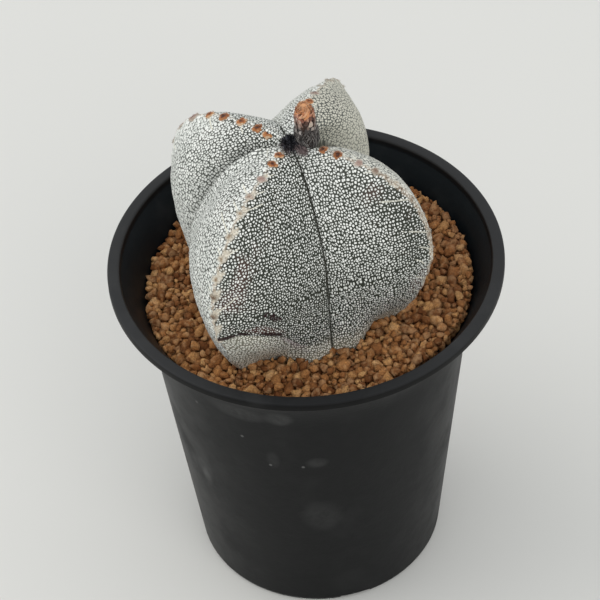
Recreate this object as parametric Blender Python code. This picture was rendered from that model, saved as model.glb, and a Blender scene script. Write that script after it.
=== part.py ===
"""A bishop's cap cactus with four ribs, standing in a round black plastic pot filled with
small fired-clay granules.

The origin is the middle of the pot's foot, +Z is up and -Y is the front.  Sizes are metres.
"""
import math

import bpy
import bmesh
import numpy as np
from mathutils import Matrix, Vector, geometry

MM = 0.001
SEAT_GAP = 0.3 * MM              # air between pieces that touch on the real thing

# Pot
LIP_RADIUS = 60.0 * MM           # the pot measures 120 mm across its lip
LIP_WIDTH = 3.6 * MM
LIP_EDGE_HEIGHT = 2.5 * MM
LIP_RISE = 0.3 * MM              # the lip's inner edge stands this much over its outer edge
RIM_HEIGHT = 116.5 * MM          # foot to the lip's outer top edge
FOOT_RADIUS = 38.5 * MM
WALL_TAPER = 0.1097              # gain in radius for each metre of height
FLARE_LENGTH = 20.0 * MM         # the top stretch where the wall bends out to the lip
FLARE_REACH = 5.6 * MM
FLARE_POWER = 2.5
WALL = 1.1 * MM
FLOOR_HEIGHT = 3.6 * MM          # underside of the floor, over the foot
FLOOR_THICKNESS = 1.5 * MM
FOOT_WIDTH = 2.4 * MM
POT_SIDES = 64
DRAIN_RADIUS = 3.5 * MM
DRAIN_CIRCLE = 23.0 * MM
DRAIN_COUNT = 6
NOTCH_WIDTH = 10.0 * MM
NOTCH_HEIGHT = 1.4 * MM
NOTCH_TURN = math.radians(-76)
NOTCH_COUNT = 4

# Granules
SOIL_LEVEL = 105.4 * MM
GRANULE_PITCH = 4.8 * MM
GRANULE_JITTER = 0.9 * MM
GRANULE_RISE = 1.3 * MM
VALLEY_DEPTH = 1.2 * MM
GRANULE_SIDES = 5
GRANULE_SEED = 11

# Cactus body, about its own axis
AXIS_X, AXIS_Y = -2.6 * MM, -0.8 * MM
RIB_TURNS = tuple(math.radians(a) for a in (-120.4, -26.3, 68.3, 142.1))
RIB_REACHES = (49.6 * MM, 44.5 * MM, 47.0 * MM, 44.4 * MM)
GROOVE_REACH = 28.8 * MM
BELLY_HEIGHT = 135.0 * MM        # where every rib is widest
CROWN_HEIGHT = 166.8 * MM
RIDGE_SHOULDER, GROOVE_SHOULDER = 2.64, 1.67      # superellipse exponents over the belly
RIDGE_TUCKS, GROOVE_TUCK = (1.65, 1.55, 1.48, 1.48), 3.36      # and under it
RIDGE_DEPTH, GROOVE_DEPTH = 55.6 * MM, 46.9 * MM
FLANK_BULGE = 0.084              # part of a flank's width by which it swells
UNEVEN_BULGES = {(0, -1): (0.123, 0.10), (2, -1): (-0.025, 0.476), (3, 1): (0.112, 0.093)}
BULGE_PLACE = 0.9                # an uneven flank has its first value here, and gains the second upwards
DIMPLE_DEPTH, DIMPLE_RADIUS = 1.7 * MM, 9.0 * MM
COLLAR = 1.5                     # place down the meridian where the buried base closes
NECK_RADIUS, NECK_HEIGHT = 8.0 * MM, 84.0 * MM
ROOT_TIP_HEIGHT = 46.0 * MM
FLANK_STEPS = 5
MERIDIAN_STEPS = 30

# Areoles, the woolly cushions along each ridge
AREOLE_START = 7.4 * MM
AREOLE_RIB_SHIFTS = (0.0 * MM, 3.5 * MM, 2.0 * MM, 0.3 * MM)
AREOLE_FIRST_STEP, AREOLE_STEP_GAIN, AREOLE_LAST_STEP = 3.7 * MM, 1.6 * MM, 6.7 * MM
AREOLE_CLEARANCE = 5.0 * MM      # none lies nearer to the granules
AREOLE_RADIUS = 1.4 * MM
AREOLE_HEIGHT = 0.9 * MM
AREOLE_SINK = 0.9 * MM
AREOLE_SIDES = 7

# Withered flower and tuft on the crown
FLOWER_X, FLOWER_Y = 5.3 * MM, -0.5 * MM          # from the cactus's axis
FLOWER_HEIGHT = 13.9 * MM
FLOWER_RADIUS = 3.1 * MM
FLOWER_SIDES = 10
FLOWER_OUTLINE = ((0.0, 0.8), (0.22, 0.9), (0.35, 1.0), (0.5, 0.9), (0.65, 0.82), (0.8, 0.8), (0.92, 0.66))
SCALE_WHORLS, SCALES_PER_WHORL = 5, 6
LOWEST_WHORL, WHORL_STEP = 0.42, 0.100             # parts of the flower's whole length
SCALE_LENGTH, SCALE_RADIUS = 3.4 * MM, 0.9 * MM
TUFT_X, TUFT_Y = 0.1 * MM, -1.6 * MM
TUFT_RADIUS = 2.1 * MM
TUFT_HEIGHT = 5.2 * MM
TUFT_BRISTLES = 22
BRISTLE_RADIUS = 0.42 * MM
BRISTLE_TURN = math.radians(137.5)                 # the golden angle spreads them evenly
ROOTED = 4.0 * MM                # how far the flower starts under the crown, which trims it


def clear_scene():
    """Remove every object that is in the scene."""
    for thing in list(bpy.data.objects):
        bpy.data.objects.remove(thing, do_unlink=True)


def material(name, colour, roughness, metallic=0.0):
    """A Principled material in one colour."""
    made = bpy.data.materials.new(name)
    made.use_nodes = True
    shader = made.node_tree.nodes["Principled BSDF"]
    shader.inputs["Base Color"].default_value = (*colour, 1.0)
    shader.inputs["Roughness"].default_value = roughness
    shader.inputs["Metallic"].default_value = metallic
    return made


def add_object(name, mesh, finish=None):
    """Link a mesh to the scene as an object with the given finish."""
    thing = bpy.data.objects.new(name, mesh)
    bpy.context.scene.collection.objects.link(thing)
    if finish:
        mesh.materials.clear()
        mesh.materials.append(finish)
    return thing


def mesh_from(name, points, faces):
    """A mesh from its points and faces, with every face turned outwards."""
    mesh = bpy.data.meshes.new(name)
    mesh.from_pydata([tuple(map(float, p)) for p in points], [], [tuple(map(int, f)) for f in faces])
    shell = bmesh.new()
    shell.from_mesh(mesh)
    bmesh.ops.recalc_face_normals(shell, faces=shell.faces)
    shell.to_mesh(mesh)
    shell.free()
    return mesh


def lofted(name, rings, top, bottom):
    """A closed skin over equal rings of points, with a pole point at either end."""
    count, around = len(rings), len(rings[0])
    points = [top, *(p for ring in rings for p in ring), bottom]
    last = len(points) - 1
    faces = []
    for j in range(around):
        k = (j + 1) % around
        faces.append((0, 1 + j, 1 + k))
        faces.append((last, 1 + (count - 1) * around + k, 1 + (count - 1) * around + j))
        for i in range(count - 1):
            a, b = 1 + i * around, 1 + (i + 1) * around
            faces.append((a + j, b + j, b + k, a + k))
    return mesh_from(name, points, faces)


def shade(thing, angle):
    """Smooth shading, with edges sharper than the angle left sharp."""
    thing.data.shade_smooth()
    thing.data.set_sharp_from_angle(angle=math.radians(angle))


def boolean(thing, operation, others):
    """Join or cut a thing with all the others at once, and remove them."""
    group = bpy.data.collections.new(thing.name + "_tools")
    bpy.context.scene.collection.children.link(group)
    for other in others:
        group.objects.link(other)
        bpy.context.scene.collection.objects.unlink(other)
    step = thing.modifiers.new(operation.lower(), "BOOLEAN")
    step.operation = operation
    step.operand_type = "COLLECTION"
    step.collection = group
    step.solver = "EXACT"
    bpy.context.view_layer.update()
    evaluated = thing.evaluated_get(bpy.context.evaluated_depsgraph_get())
    result = bpy.data.meshes.new_from_object(evaluated)
    thing.modifiers.clear()
    thing.data = result
    for other in list(group.objects):
        bpy.data.objects.remove(other, do_unlink=True)
    bpy.data.collections.remove(group)


# The pot

def wall_radius(height):
    """Outer radius of the pot's wall: a straight taper that flares towards the lip."""
    lip_foot = RIM_HEIGHT - LIP_EDGE_HEIGHT
    climb = max(0.0, (height - lip_foot + FLARE_LENGTH) / FLARE_LENGTH)
    return FOOT_RADIUS + WALL_TAPER * height + FLARE_REACH * climb ** FLARE_POWER


def pot_profile():
    """Half section of the pot as (radius, height), down its outside and up its inside."""
    lip_foot = RIM_HEIGHT - LIP_EDGE_HEIGHT
    lip_top = RIM_HEIGHT + LIP_RISE
    floor_top = FLOOR_HEIGHT + FLOOR_THICKNESS
    edge = 0.35 * MM
    lip = [(LIP_RADIUS - LIP_WIDTH, lip_top - edge), (LIP_RADIUS - LIP_WIDTH + edge, lip_top),
           (LIP_RADIUS - LIP_WIDTH / 2, lip_top - 0.35 * LIP_RISE),
           (LIP_RADIUS - edge, RIM_HEIGHT), (LIP_RADIUS, RIM_HEIGHT - edge),
           (LIP_RADIUS, lip_foot + edge), (LIP_RADIUS - edge, lip_foot)]
    heights = [lip_foot - FLARE_LENGTH * t for t in (0.0, 0.12, 0.26, 0.42, 0.62, 1.0)]
    outside = [(wall_radius(h), h) for h in heights]
    outside.append((FOOT_RADIUS + WALL_TAPER * 1.5 * MM, 1.5 * MM))
    outside.append((FOOT_RADIUS - 0.6 * MM, 0.0))
    foot = [(FOOT_RADIUS - 0.6 * MM - FOOT_WIDTH, 0.0),
            (FOOT_RADIUS - 0.6 * MM - FOOT_WIDTH, FLOOR_HEIGHT), (0.0, FLOOR_HEIGHT)]
    inside = [(0.0, floor_top), (wall_radius(floor_top) - WALL - 1.0 * MM, floor_top)]
    inside.append((wall_radius(floor_top) - WALL, floor_top + 1.0 * MM))
    inside += [(wall_radius(h) - WALL, h) for h in reversed(heights)]
    return lip + outside + foot + inside


def make_pot(finish):
    """The pot, turned from its half section, then drilled and notched."""
    profile = pot_profile()
    mesh = bpy.data.meshes.new("pot")
    edges = [(i, (i + 1) % len(profile)) for i in range(len(profile))]
    on_axis = {i for i, (radius, _) in enumerate(profile) if radius == 0.0}
    edges = [e for e in edges if not set(e) <= on_axis]
    mesh.from_pydata([(r, 0.0, h) for r, h in profile], edges, [])
    pot = add_object("pot", mesh, finish)
    screw = pot.modifiers.new("turned", "SCREW")
    screw.steps = screw.render_steps = POT_SIDES
    screw.use_merge_vertices = True
    screw.merge_threshold = 0.00001
    cutters = []
    places = [(0.0, 0.0)] + [(DRAIN_CIRCLE * math.cos(t), DRAIN_CIRCLE * math.sin(t))
                             for t in (2 * math.pi * i / DRAIN_COUNT for i in range(DRAIN_COUNT))]
    for x, y in places:
        cutters.append(drill(x, y))
    for i in range(NOTCH_COUNT):
        cutters.append(notch(NOTCH_TURN + 2 * math.pi * i / NOTCH_COUNT))
    boolean(pot, "DIFFERENCE", cutters)
    shade(pot, 40)
    return pot


def drill(x, y):
    """A round cutter for one drain hole."""
    shell = bmesh.new()
    bmesh.ops.create_cone(shell, cap_ends=True, segments=16, radius1=DRAIN_RADIUS, radius2=DRAIN_RADIUS,
                          depth=10 * FLOOR_THICKNESS, matrix=Matrix.Translation((x, y, FLOOR_HEIGHT)))
    mesh = bpy.data.meshes.new("drill")
    shell.to_mesh(mesh)
    shell.free()
    return add_object("drill", mesh)


def notch(turn):
    """A block that cuts one shallow notch in the foot ring."""
    place = Matrix.Rotation(turn, 4, "Z") @ Matrix.Translation((FOOT_RADIUS, 0.0, 0.0))
    size = Matrix.Diagonal((6 * FOOT_WIDTH, NOTCH_WIDTH, 2 * NOTCH_HEIGHT, 1.0))
    shell = bmesh.new()
    bmesh.ops.create_cube(shell, size=1.0, matrix=place @ size)
    mesh = bpy.data.meshes.new("notch")
    shell.to_mesh(mesh)
    shell.free()
    return add_object("notch", mesh)


# The cactus

def meridian(u, reach, shoulder, depth, tuck):
    """Radius and height down a ridge or a groove, for u from 0 at the crown to 2 underneath.

    It is a superellipse of one exponent over the belly and of another under it, with the
    crown dimpled by a bell curve of the radius."""
    u = np.asarray(u, float)
    above = np.clip(u, 0.0, 1.0) * math.pi / 2
    below = np.clip(u - 1.0, 0.0, 1.0) * math.pi / 2
    over = u <= 1.0
    radius = reach * np.where(over, np.sin(above) ** (2 / shoulder), np.cos(below) ** (2 / tuck))
    height = BELLY_HEIGHT + np.where(over, (CROWN_HEIGHT - BELLY_HEIGHT) * np.cos(above) ** (2 / shoulder),
                                     -depth * np.sin(below) ** (2 / tuck))
    return radius, height - DIMPLE_DEPTH * np.exp(-(radius / DIMPLE_RADIUS) ** 2)


def ridge(u, rib):
    """Points down one rib's ridge."""
    radius, height = meridian(u, RIB_REACHES[rib], RIDGE_SHOULDER, RIDGE_DEPTH, RIDGE_TUCKS[rib])
    turn = RIB_TURNS[rib]
    return np.stack([AXIS_X + radius * math.cos(turn), AXIS_Y + radius * math.sin(turn), height], -1)


def groove(u, rib, side):
    """Points down the groove beside a rib, midway in angle to the next rib on that side."""
    other = RIB_TURNS[(rib + side) % len(RIB_TURNS)]
    turn = RIB_TURNS[rib] + side * ((side * (other - RIB_TURNS[rib])) % (2 * math.pi)) / 2
    radius, height = meridian(u, GROOVE_REACH, GROOVE_SHOULDER, GROOVE_DEPTH, GROOVE_TUCK)
    return np.stack([AXIS_X + radius * math.cos(turn), AXIS_Y + radius * math.sin(turn), height], -1)


def flank(u, w, rib, side):
    """A rib's flank between its ridge, w = 0, and the groove on one side, w = 1.

    It runs straight from one to the other and swells outwards by a parabola."""
    top, low = ridge(u, rib), groove(u, rib, side)
    bulge, gain = UNEVEN_BULGES.get((rib, side), (FLANK_BULGE, 0.0))
    bulge += gain * (BULGE_PLACE - u)
    chord = low - top
    outward = side * np.stack([chord[..., 1], -chord[..., 0], 0 * chord[..., 2]], -1)
    return top * (1 - w) + low * w + outward * bulge * 4 * w * (1 - w)


def body_ring(u):
    """One closed ring of the body: each rib from the groove before it to the one after it."""
    ring = []
    for rib in range(len(RIB_TURNS)):
        ring += [flank(u, 1 - j / FLANK_STEPS, rib, -1) for j in range(FLANK_STEPS)]
        ring += [flank(u, j / FLANK_STEPS, rib, 1) for j in range(FLANK_STEPS)]
    return np.array(ring)


def body_mesh():
    """The whole plant: ribbed body, the buried base that closes to a neck, and the tap root."""
    places = [COLLAR * (i / MERIDIAN_STEPS) for i in range(1, MERIDIAN_STEPS + 1)]
    rings = [body_ring(u) for u in places]
    collar = rings[-1]
    out = collar - [AXIS_X, AXIS_Y, 0.0]
    out[:, 2] = 0.0
    out /= np.linalg.norm(out, axis=1)[:, None]
    axis = np.array([AXIS_X, AXIS_Y, 0.0])
    for t in (0.25, 0.5, 0.75, 1.0):
        open_part, drop = math.cos(t * math.pi / 2), math.sin(t * math.pi / 2)
        ring = axis + out * NECK_RADIUS + (collar - axis - out * NECK_RADIUS) * open_part
        ring[:, 2] = collar[:, 2] + (NECK_HEIGHT - collar[:, 2]) * drop
        rings.append(ring)
    for t in (0.3, 0.6, 0.85):
        ring = axis + out * NECK_RADIUS * (1 - t) ** 0.7
        ring[:, 2] = NECK_HEIGHT + (ROOT_TIP_HEIGHT - NECK_HEIGHT) * t
        rings.append(ring)
    crown = (AXIS_X, AXIS_Y, CROWN_HEIGHT - DIMPLE_DEPTH)
    return lofted("cactus", rings, crown, (AXIS_X, AXIS_Y, ROOT_TIP_HEIGHT))


def areole_places(rib):
    """Points and outward directions of one rib's areoles, spaced along the ridge's length."""
    line = ridge(np.linspace(0.0, COLLAR, 600), rib)
    along = np.concatenate([[0.0], np.cumsum(np.linalg.norm(np.diff(line, axis=0), axis=1))])
    places = []
    distance = AREOLE_START + AREOLE_RIB_SHIFTS[rib]
    step = AREOLE_FIRST_STEP
    while distance < along[-1]:
        i = int(np.searchsorted(along, distance))
        run = Vector(line[i] - line[i - 1]).normalized()
        side = Vector((-math.sin(RIB_TURNS[rib]), math.cos(RIB_TURNS[rib]), 0.0))
        if line[i][2] < SOIL_LEVEL + AREOLE_CLEARANCE:
            break
        places.append((Vector(line[i]), side.cross(run)))
        distance += step
        step = min(AREOLE_LAST_STEP, step + AREOLE_STEP_GAIN)
    return places


def cushion(place, outward):
    """One areole: a low tapered boss whose foot is sunk in the ridge."""
    depth = AREOLE_HEIGHT + AREOLE_SINK
    turn = outward.to_track_quat("Z", "X").to_matrix().to_4x4()
    middle = Matrix.Translation(place + outward * (AREOLE_HEIGHT - depth / 2))
    shell = bmesh.new()
    bmesh.ops.create_cone(shell, cap_ends=True, segments=AREOLE_SIDES, radius1=AREOLE_RADIUS * 1.15,
                          radius2=AREOLE_RADIUS * 0.6, depth=depth, matrix=middle @ turn)
    mesh = bpy.data.meshes.new("cushion")
    shell.to_mesh(mesh)
    shell.free()
    return add_object("cushion", mesh)


def make_cactus(finish):
    """The plant with its areoles joined on."""
    cactus = add_object("cactus", body_mesh(), finish)
    cushions = [cushion(*place) for rib in range(len(RIB_TURNS)) for place in areole_places(rib)]
    boolean(cactus, "UNION", cushions)
    shade(cactus, 35)
    return cactus


def grown_body(clearance):
    """A copy of the plant swollen by a clearance, which cuts what lies against it."""
    mesh = body_mesh()
    shell = bmesh.new()
    shell.from_mesh(mesh)
    shell.normal_update()
    for corner in shell.verts:
        corner.co += corner.normal * clearance * corner.calc_shell_factor()
    shell.to_mesh(mesh)
    shell.free()
    return add_object("grown_body", mesh)


# The granules

def granule_centres(radius):
    """Granule middles in jittered staggered rows inside a circle."""
    chance = np.random.default_rng(GRANULE_SEED)
    row = GRANULE_PITCH * math.sqrt(3) / 2
    count = int(radius / row) + 1
    i, j = np.meshgrid(np.arange(-count, count + 1), np.arange(-count - 1, count + 2), indexing="ij")
    x = (j + 0.5 * (i % 2)).ravel() * GRANULE_PITCH
    y = i.ravel() * row
    centres = np.stack([x, y], -1) + chance.uniform(-GRANULE_JITTER, GRANULE_JITTER, (x.size, 2))
    return centres[np.hypot(*centres.T) < radius - GRANULE_PITCH * 0.45]


def granule_relief(radius):
    """Points of the granule bed: a low polygon on top of each granule, valleys between them."""
    chance = np.random.default_rng(GRANULE_SEED + 1)
    centres = granule_centres(radius)
    _, _, cells, _, _, _ = geometry.delaunay_2d_cdt([Vector(c) for c in centres], [], [], 0, 1e-7)
    points, heights = [], []
    for centre in centres:
        size = GRANULE_PITCH * chance.uniform(0.27, 0.36)
        lift = GRANULE_RISE * chance.uniform(0.35, 1.0)
        turn = chance.uniform(0, 2 * math.pi)
        for k in range(GRANULE_SIDES):
            angle = turn + 2 * math.pi * (k + chance.uniform(-0.2, 0.2)) / GRANULE_SIDES
            points.append(centre + size * np.array([math.cos(angle), math.sin(angle)]))
            heights.append(SOIL_LEVEL + lift + GRANULE_RISE * chance.uniform(-0.3, 0.3))
    valleys = {tuple(sorted((a, b))) for cell in cells for a, b in zip(cell, cell[1:] + cell[:1])}
    for a, b in sorted(valleys):
        if np.linalg.norm(centres[a] - centres[b]) < 1.6 * GRANULE_PITCH:
            points.append((centres[a] + centres[b]) / 2)
            heights.append(SOIL_LEVEL - 0.6 * VALLEY_DEPTH)
    for cell in cells:
        corners = centres[list(cell)]
        if max(np.linalg.norm(corners - corners.mean(axis=0), axis=1)) < GRANULE_PITCH:
            points.append(corners.mean(axis=0))
            heights.append(SOIL_LEVEL - VALLEY_DEPTH)
    return points, heights


def make_growing_medium(finish):
    """The fill: a bed of granules on top, the pot's inner shape below, a hole for the plant."""
    top = SOIL_LEVEL - VALLEY_DEPTH
    clearance = WALL + SEAT_GAP + 0.1 * MM
    floor = FLOOR_HEIGHT + FLOOR_THICKNESS + SEAT_GAP
    levels = (top, RIM_HEIGHT - LIP_EDGE_HEIGHT - FLARE_LENGTH, floor + 1.2 * MM, floor)
    radii = [wall_radius(h) - clearance for h in levels]
    radii[-1] -= 1.2 * MM
    points, heights = granule_relief(radii[0])
    circle = [Vector((math.cos(t), math.sin(t)))
              for t in (2 * math.pi * k / POT_SIDES for k in range(POT_SIDES))]
    rim = [c * radii[0] for c in circle]
    flat = rim + [Vector(p) for p in points]
    edge = [(k, (k + 1) % POT_SIDES) for k in range(POT_SIDES)]
    spots, _, faces, origins, _, _ = geometry.delaunay_2d_cdt(flat, edge, [], 1, 1e-7)
    heights = [top] * POT_SIDES + heights
    corners = [(p.x, p.y, heights[min(o)]) for p, o in zip(spots, origins)]
    place = {min(o): k for k, o in enumerate(origins)}
    ring = [place[k] for k in range(POT_SIDES)]
    for radius, level in zip(radii[1:], levels[1:]):
        lower = [len(corners) + k for k in range(POT_SIDES)]
        corners += [(c.x * radius, c.y * radius, level) for c in circle]
        faces += [(ring[k], ring[(k + 1) % POT_SIDES], lower[(k + 1) % POT_SIDES], lower[k])
                  for k in range(POT_SIDES)]
        ring = lower
    faces.append(tuple(ring))
    medium = add_object("growing_medium", mesh_from("growing_medium", corners, faces), finish)
    boolean(medium, "DIFFERENCE", [grown_body(SEAT_GAP + 0.1 * MM)])
    return medium


# What is left of the flowers

def bristle(foot, tip, radius, sides):
    """A straight pointed bristle or scale from foot to tip."""
    run = Vector(tip) - Vector(foot)
    turn = run.to_track_quat("Z", "X").to_matrix().to_4x4()
    shell = bmesh.new()
    bmesh.ops.create_cone(shell, cap_ends=True, segments=sides, radius1=radius, radius2=0.0,
                          depth=run.length, matrix=Matrix.Translation((Vector(foot) + Vector(tip)) / 2) @ turn)
    mesh = bpy.data.meshes.new("bristle")
    shell.to_mesh(mesh)
    shell.free()
    return add_object("bristle", mesh)


def make_dried_flower(finish):
    """The withered flower: a waisted stub with whorls of pointed scales, cut to the crown."""
    x, y = AXIS_X + FLOWER_X, AXIS_Y + FLOWER_Y
    foot = CROWN_HEIGHT - ROOTED
    length = FLOWER_HEIGHT + ROOTED
    turns = np.arange(FLOWER_SIDES) * 2 * math.pi / FLOWER_SIDES
    rings = []
    for rise, width in reversed(FLOWER_OUTLINE):
        rings.append(np.stack([x + FLOWER_RADIUS * width * np.cos(turns),
                               y + FLOWER_RADIUS * width * np.sin(turns),
                               np.full(FLOWER_SIDES, foot + rise * length)], -1))
    mesh = lofted("dried_flower", rings, (x, y, foot + length), (x, y, foot - 1.0 * MM))
    flower = add_object("dried_flower", mesh, finish)
    scales = []
    for whorl in range(SCALE_WHORLS):
        level = foot + (LOWEST_WHORL + WHORL_STEP * whorl) * length
        for k in range(SCALES_PER_WHORL):
            turn = 2 * math.pi * (k + 0.5 * (whorl % 2)) / SCALES_PER_WHORL
            out = Vector((math.cos(turn), math.sin(turn), 0.0))
            root = Vector((x, y, level)) + out * FLOWER_RADIUS * 0.55
            tip = Vector((x, y, level + SCALE_LENGTH)) + out * FLOWER_RADIUS * (1.08 - 0.05 * whorl)
            scales.append(bristle(root, tip, SCALE_RADIUS, 4))
    boolean(flower, "UNION", scales)
    boolean(flower, "DIFFERENCE", [grown_body(SEAT_GAP)])
    shade(flower, 30)
    return flower


def make_dried_tuft(finish):
    """The black tuft: bristles that fan out of a small mound, cut to the crown."""
    middle = Vector((AXIS_X + TUFT_X, AXIS_Y + TUFT_Y, CROWN_HEIGHT - DIMPLE_DEPTH))
    shell = bmesh.new()
    bmesh.ops.create_uvsphere(shell, u_segments=10, v_segments=6, radius=TUFT_RADIUS,
                              matrix=Matrix.Translation(middle) @ Matrix.Diagonal((1.0, 1.0, 1.5, 1.0)))
    mesh = bpy.data.meshes.new("dried_tuft")
    shell.to_mesh(mesh)
    shell.free()
    tuft = add_object("dried_tuft", mesh, finish)
    bristles = []
    for k in range(TUFT_BRISTLES):
        turn = k * BRISTLE_TURN
        spread = math.sqrt((k + 0.5) / TUFT_BRISTLES)
        out = Vector((math.cos(turn), math.sin(turn), 0.0))
        up = Vector((0.0, 0.0, 1.0))
        lean = (1.45 - 0.45 * math.cos(turn)) * TUFT_RADIUS * spread
        root = middle + out * TUFT_RADIUS * 0.5 * spread + up * 0.8 * MM
        tip = middle + out * lean + up * TUFT_HEIGHT * (1.0 - 0.45 * spread)
        bristles.append(bristle(root, tip, BRISTLE_RADIUS, 4))
    boolean(tuft, "UNION", bristles)
    boolean(tuft, "DIFFERENCE", [grown_body(SEAT_GAP)])
    return tuft


def main():
    clear_scene()
    make_pot(material("pot_plastic", (0.022, 0.023, 0.025), 0.55))
    make_growing_medium(material("clay_granules", (0.36, 0.19, 0.09), 0.95))
    make_cactus(material("cactus_skin", (0.42, 0.45, 0.40), 0.85))
    make_dried_flower(material("dried_flower", (0.36, 0.16, 0.07), 0.9))
    make_dried_tuft(material("dark_wool", (0.02, 0.018, 0.02), 0.95))


main()
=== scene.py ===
"""The looks of a bishop's cap cactus with four ribs, in a round black plastic pot of
fired-clay granules.

Shapes are worked out with numpy in millimetres and become metres when a mesh is made.
The origin is the middle of the pot's foot, +Z is up and -Y is the front.
"""
import math

import bpy
import numpy as np
from mathutils import Matrix, Vector


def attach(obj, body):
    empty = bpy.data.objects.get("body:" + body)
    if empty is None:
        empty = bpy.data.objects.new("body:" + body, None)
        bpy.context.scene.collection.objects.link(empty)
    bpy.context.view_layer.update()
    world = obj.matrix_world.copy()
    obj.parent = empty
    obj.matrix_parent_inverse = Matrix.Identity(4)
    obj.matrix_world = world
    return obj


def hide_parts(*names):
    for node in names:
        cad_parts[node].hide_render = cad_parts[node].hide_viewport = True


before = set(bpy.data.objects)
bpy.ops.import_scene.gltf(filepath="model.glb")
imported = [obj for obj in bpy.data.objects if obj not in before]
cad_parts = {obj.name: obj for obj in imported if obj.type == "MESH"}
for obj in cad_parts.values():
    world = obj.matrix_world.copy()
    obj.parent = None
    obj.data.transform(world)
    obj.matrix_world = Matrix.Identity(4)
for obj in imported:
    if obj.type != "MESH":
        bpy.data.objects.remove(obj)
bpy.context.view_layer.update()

MM = 0.001
FULL_TURN = 2 * np.pi
UP = np.array([0.0, 0.0, 1.0])

# Pot, in mm
LIP_RADIUS, LIP_WIDTH = 60.0, 3.6
LIP_EDGE_HEIGHT, LIP_RISE = 2.5, 0.3
RIM_HEIGHT = 116.5
FOOT_RADIUS, WALL_TAPER = 38.5, 0.1097
FLARE_LENGTH, FLARE_REACH, FLARE_POWER = 20.0, 5.6, 2.5
WALL = 1.1
FLOOR_HEIGHT, FLOOR_THICKNESS, FOOT_WIDTH = 3.6, 1.5, 2.4
POT_COLUMNS = 256
DRAIN_RADIUS, DRAIN_CIRCLE, DRAIN_COUNT = 3.5, 23.0, 6
DRILL_LENGTH, DRILL_SIDES = 12.0, 40
NOTCH_WIDTH, NOTCH_HEIGHT, NOTCH_TURN, NOTCH_COUNT = 10.0, 1.4, math.radians(-76), 4

# Cactus body, in mm about its own axis: rib 0 comes forward, 1 goes right, 2 back and 3 left
RIBS = 4
FLANKS = 2 * RIBS                  # two a rib: the one clockwise of its ridge, then the other
AXIS = np.array([-2.6, -0.8, 0.0])
RIB_TURNS = np.radians([-120.4, -26.3, 68.3, 142.1])
RIB_REACHES = np.array([49.6, 44.5, 47.0, 44.4])
GROOVE_REACH = 28.8
BELLY_HEIGHT, CROWN_HEIGHT = 135.0, 166.8
RIDGE_SHOULDER, GROOVE_SHOULDER = 2.64, 1.67
RIDGE_TUCKS, GROOVE_TUCK = (1.65, 1.55, 1.48, 1.48), 3.36
RIDGE_DEPTH, GROOVE_DEPTH = 55.6, 46.9
FLANK_BULGE = 0.084
UNEVEN_BULGES, BULGE_PLACE = {(0, -1): (0.123, 0.10), (2, -1): (-0.025, 0.476), (3, 1): (0.112, 0.093)}, 0.9
DIMPLE_DEPTH, DIMPLE_RADIUS = 1.7, 9.0
COLLAR = 1.5
NECK_RADIUS, NECK_HEIGHT, ROOT_TIP_HEIGHT = 8.0, 84.0, 46.0
FLANK_STEPS, MERIDIAN_STEPS = 44, 232
LAY_ROWS, LAY_COLUMNS = 34, 12
FRONT_RIB = 0
FRONT_GROOVE = [1, 2]              # the flanks on both sides of the groove that faces the front
FLECK_PITCH, GROOVE_CROWDING, LAY_SPACING = 0.94, 0.0055, 140.0

# Areoles, in mm along a ridge
AREOLE_SPOTS = ((6.5, 10.7, 17.4, 24.7, 30.8, 38.2, 45.0, 51.2, 56.8, 64.2), (10.7, 15.4, 22.2, 27.5, 34.4),
                (10.8, 17.8, 23.1, 30.4, 37.5), (7.5, 11.4, 17.4, 24.0, 29.7, 37.4, 45.2, 53.2))
AREOLE_STEP, AREOLE_FADING = 6.7, np.array([4.0, 4.0, 3.3, 11.0])
AREOLE_CLEARANCE = 5.0
AREOLE_RADIUS, AREOLE_HEIGHT = 1.52, 0.85
AREOLE_FIBRES = 70
NAMED_FRONT_AREOLES = 10

# Granules
SOIL_LEVEL, BED_LEVEL = 105.4, 101.6
SOIL_TILT, TILT_REACH = 0.055, 46.0
GRANULE_COUNT, GRANULE_TRIALS = 2650, 60
GRANULE_RADIUS, GRANULE_VARIETY = 0.96, 0.30
SMALLEST_RADIUS, LARGE_RADIUS, LARGEST_RADIUS = 0.50, 0.95, 1.75
CHIP_PLANES, CHIP_POWER = 9, 18.0

# Withered flower and tuft
FLOWER = AXIS + [5.3, -0.5, 0.0]
FLOWER_TOP, FLOWER_RADIUS, FLOWER_LEAN = 180.3, 3.1, 0.6
FLOWER_RISES = (0.0, 0.10, 0.25, 0.45, 0.62, 0.8, 0.92, 1.0)
FLOWER_WIDTHS = (0.95, 1.02, 0.98, 0.90, 0.85, 0.77, 0.64, 0.36)
SCALE_SPREAD = (-0.35, 0.0, 0.20, 0.30, 0.34, 0.36, 0.36, 0.38, 0.42)
DARK_HAIRS, WHORLS, SCALES_EACH, PETALS, CURLS = 700, 8, 12, 34, 520
TUFT, TUFT_HAIRS, STREAMING_HAIRS = AXIS + [0.1, -1.6, 0.0], 620, 110
CROWN_SEAT = 164.6

# The photo's camera, in mm and radians
CAMERA_PLACE = (-2.49, -661.04, 779.87)
CAMERA_DIP, CAMERA_ROLL = math.radians(45.86), math.radians(-3.72)
CAMERA_LENS = 186.34

# Light: the even surround, and a window at the left and a fill from the front, in m and W
SKY_STRENGTH, SKY_COLOUR = 0.88, (0.94, 0.96, 0.985, 1.0)
LAMPS = (("window", (-1.02, 0.25, 1.22), 1.6, 6.5), ("fill", (0.5, -1.25, 1.1), 1.4, 6.3))
LAMP_AIM, LAMP_COLOUR = Vector((0.0, 0.0, 0.12)), (1.0, 0.99, 0.97)


# Shader building

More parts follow.
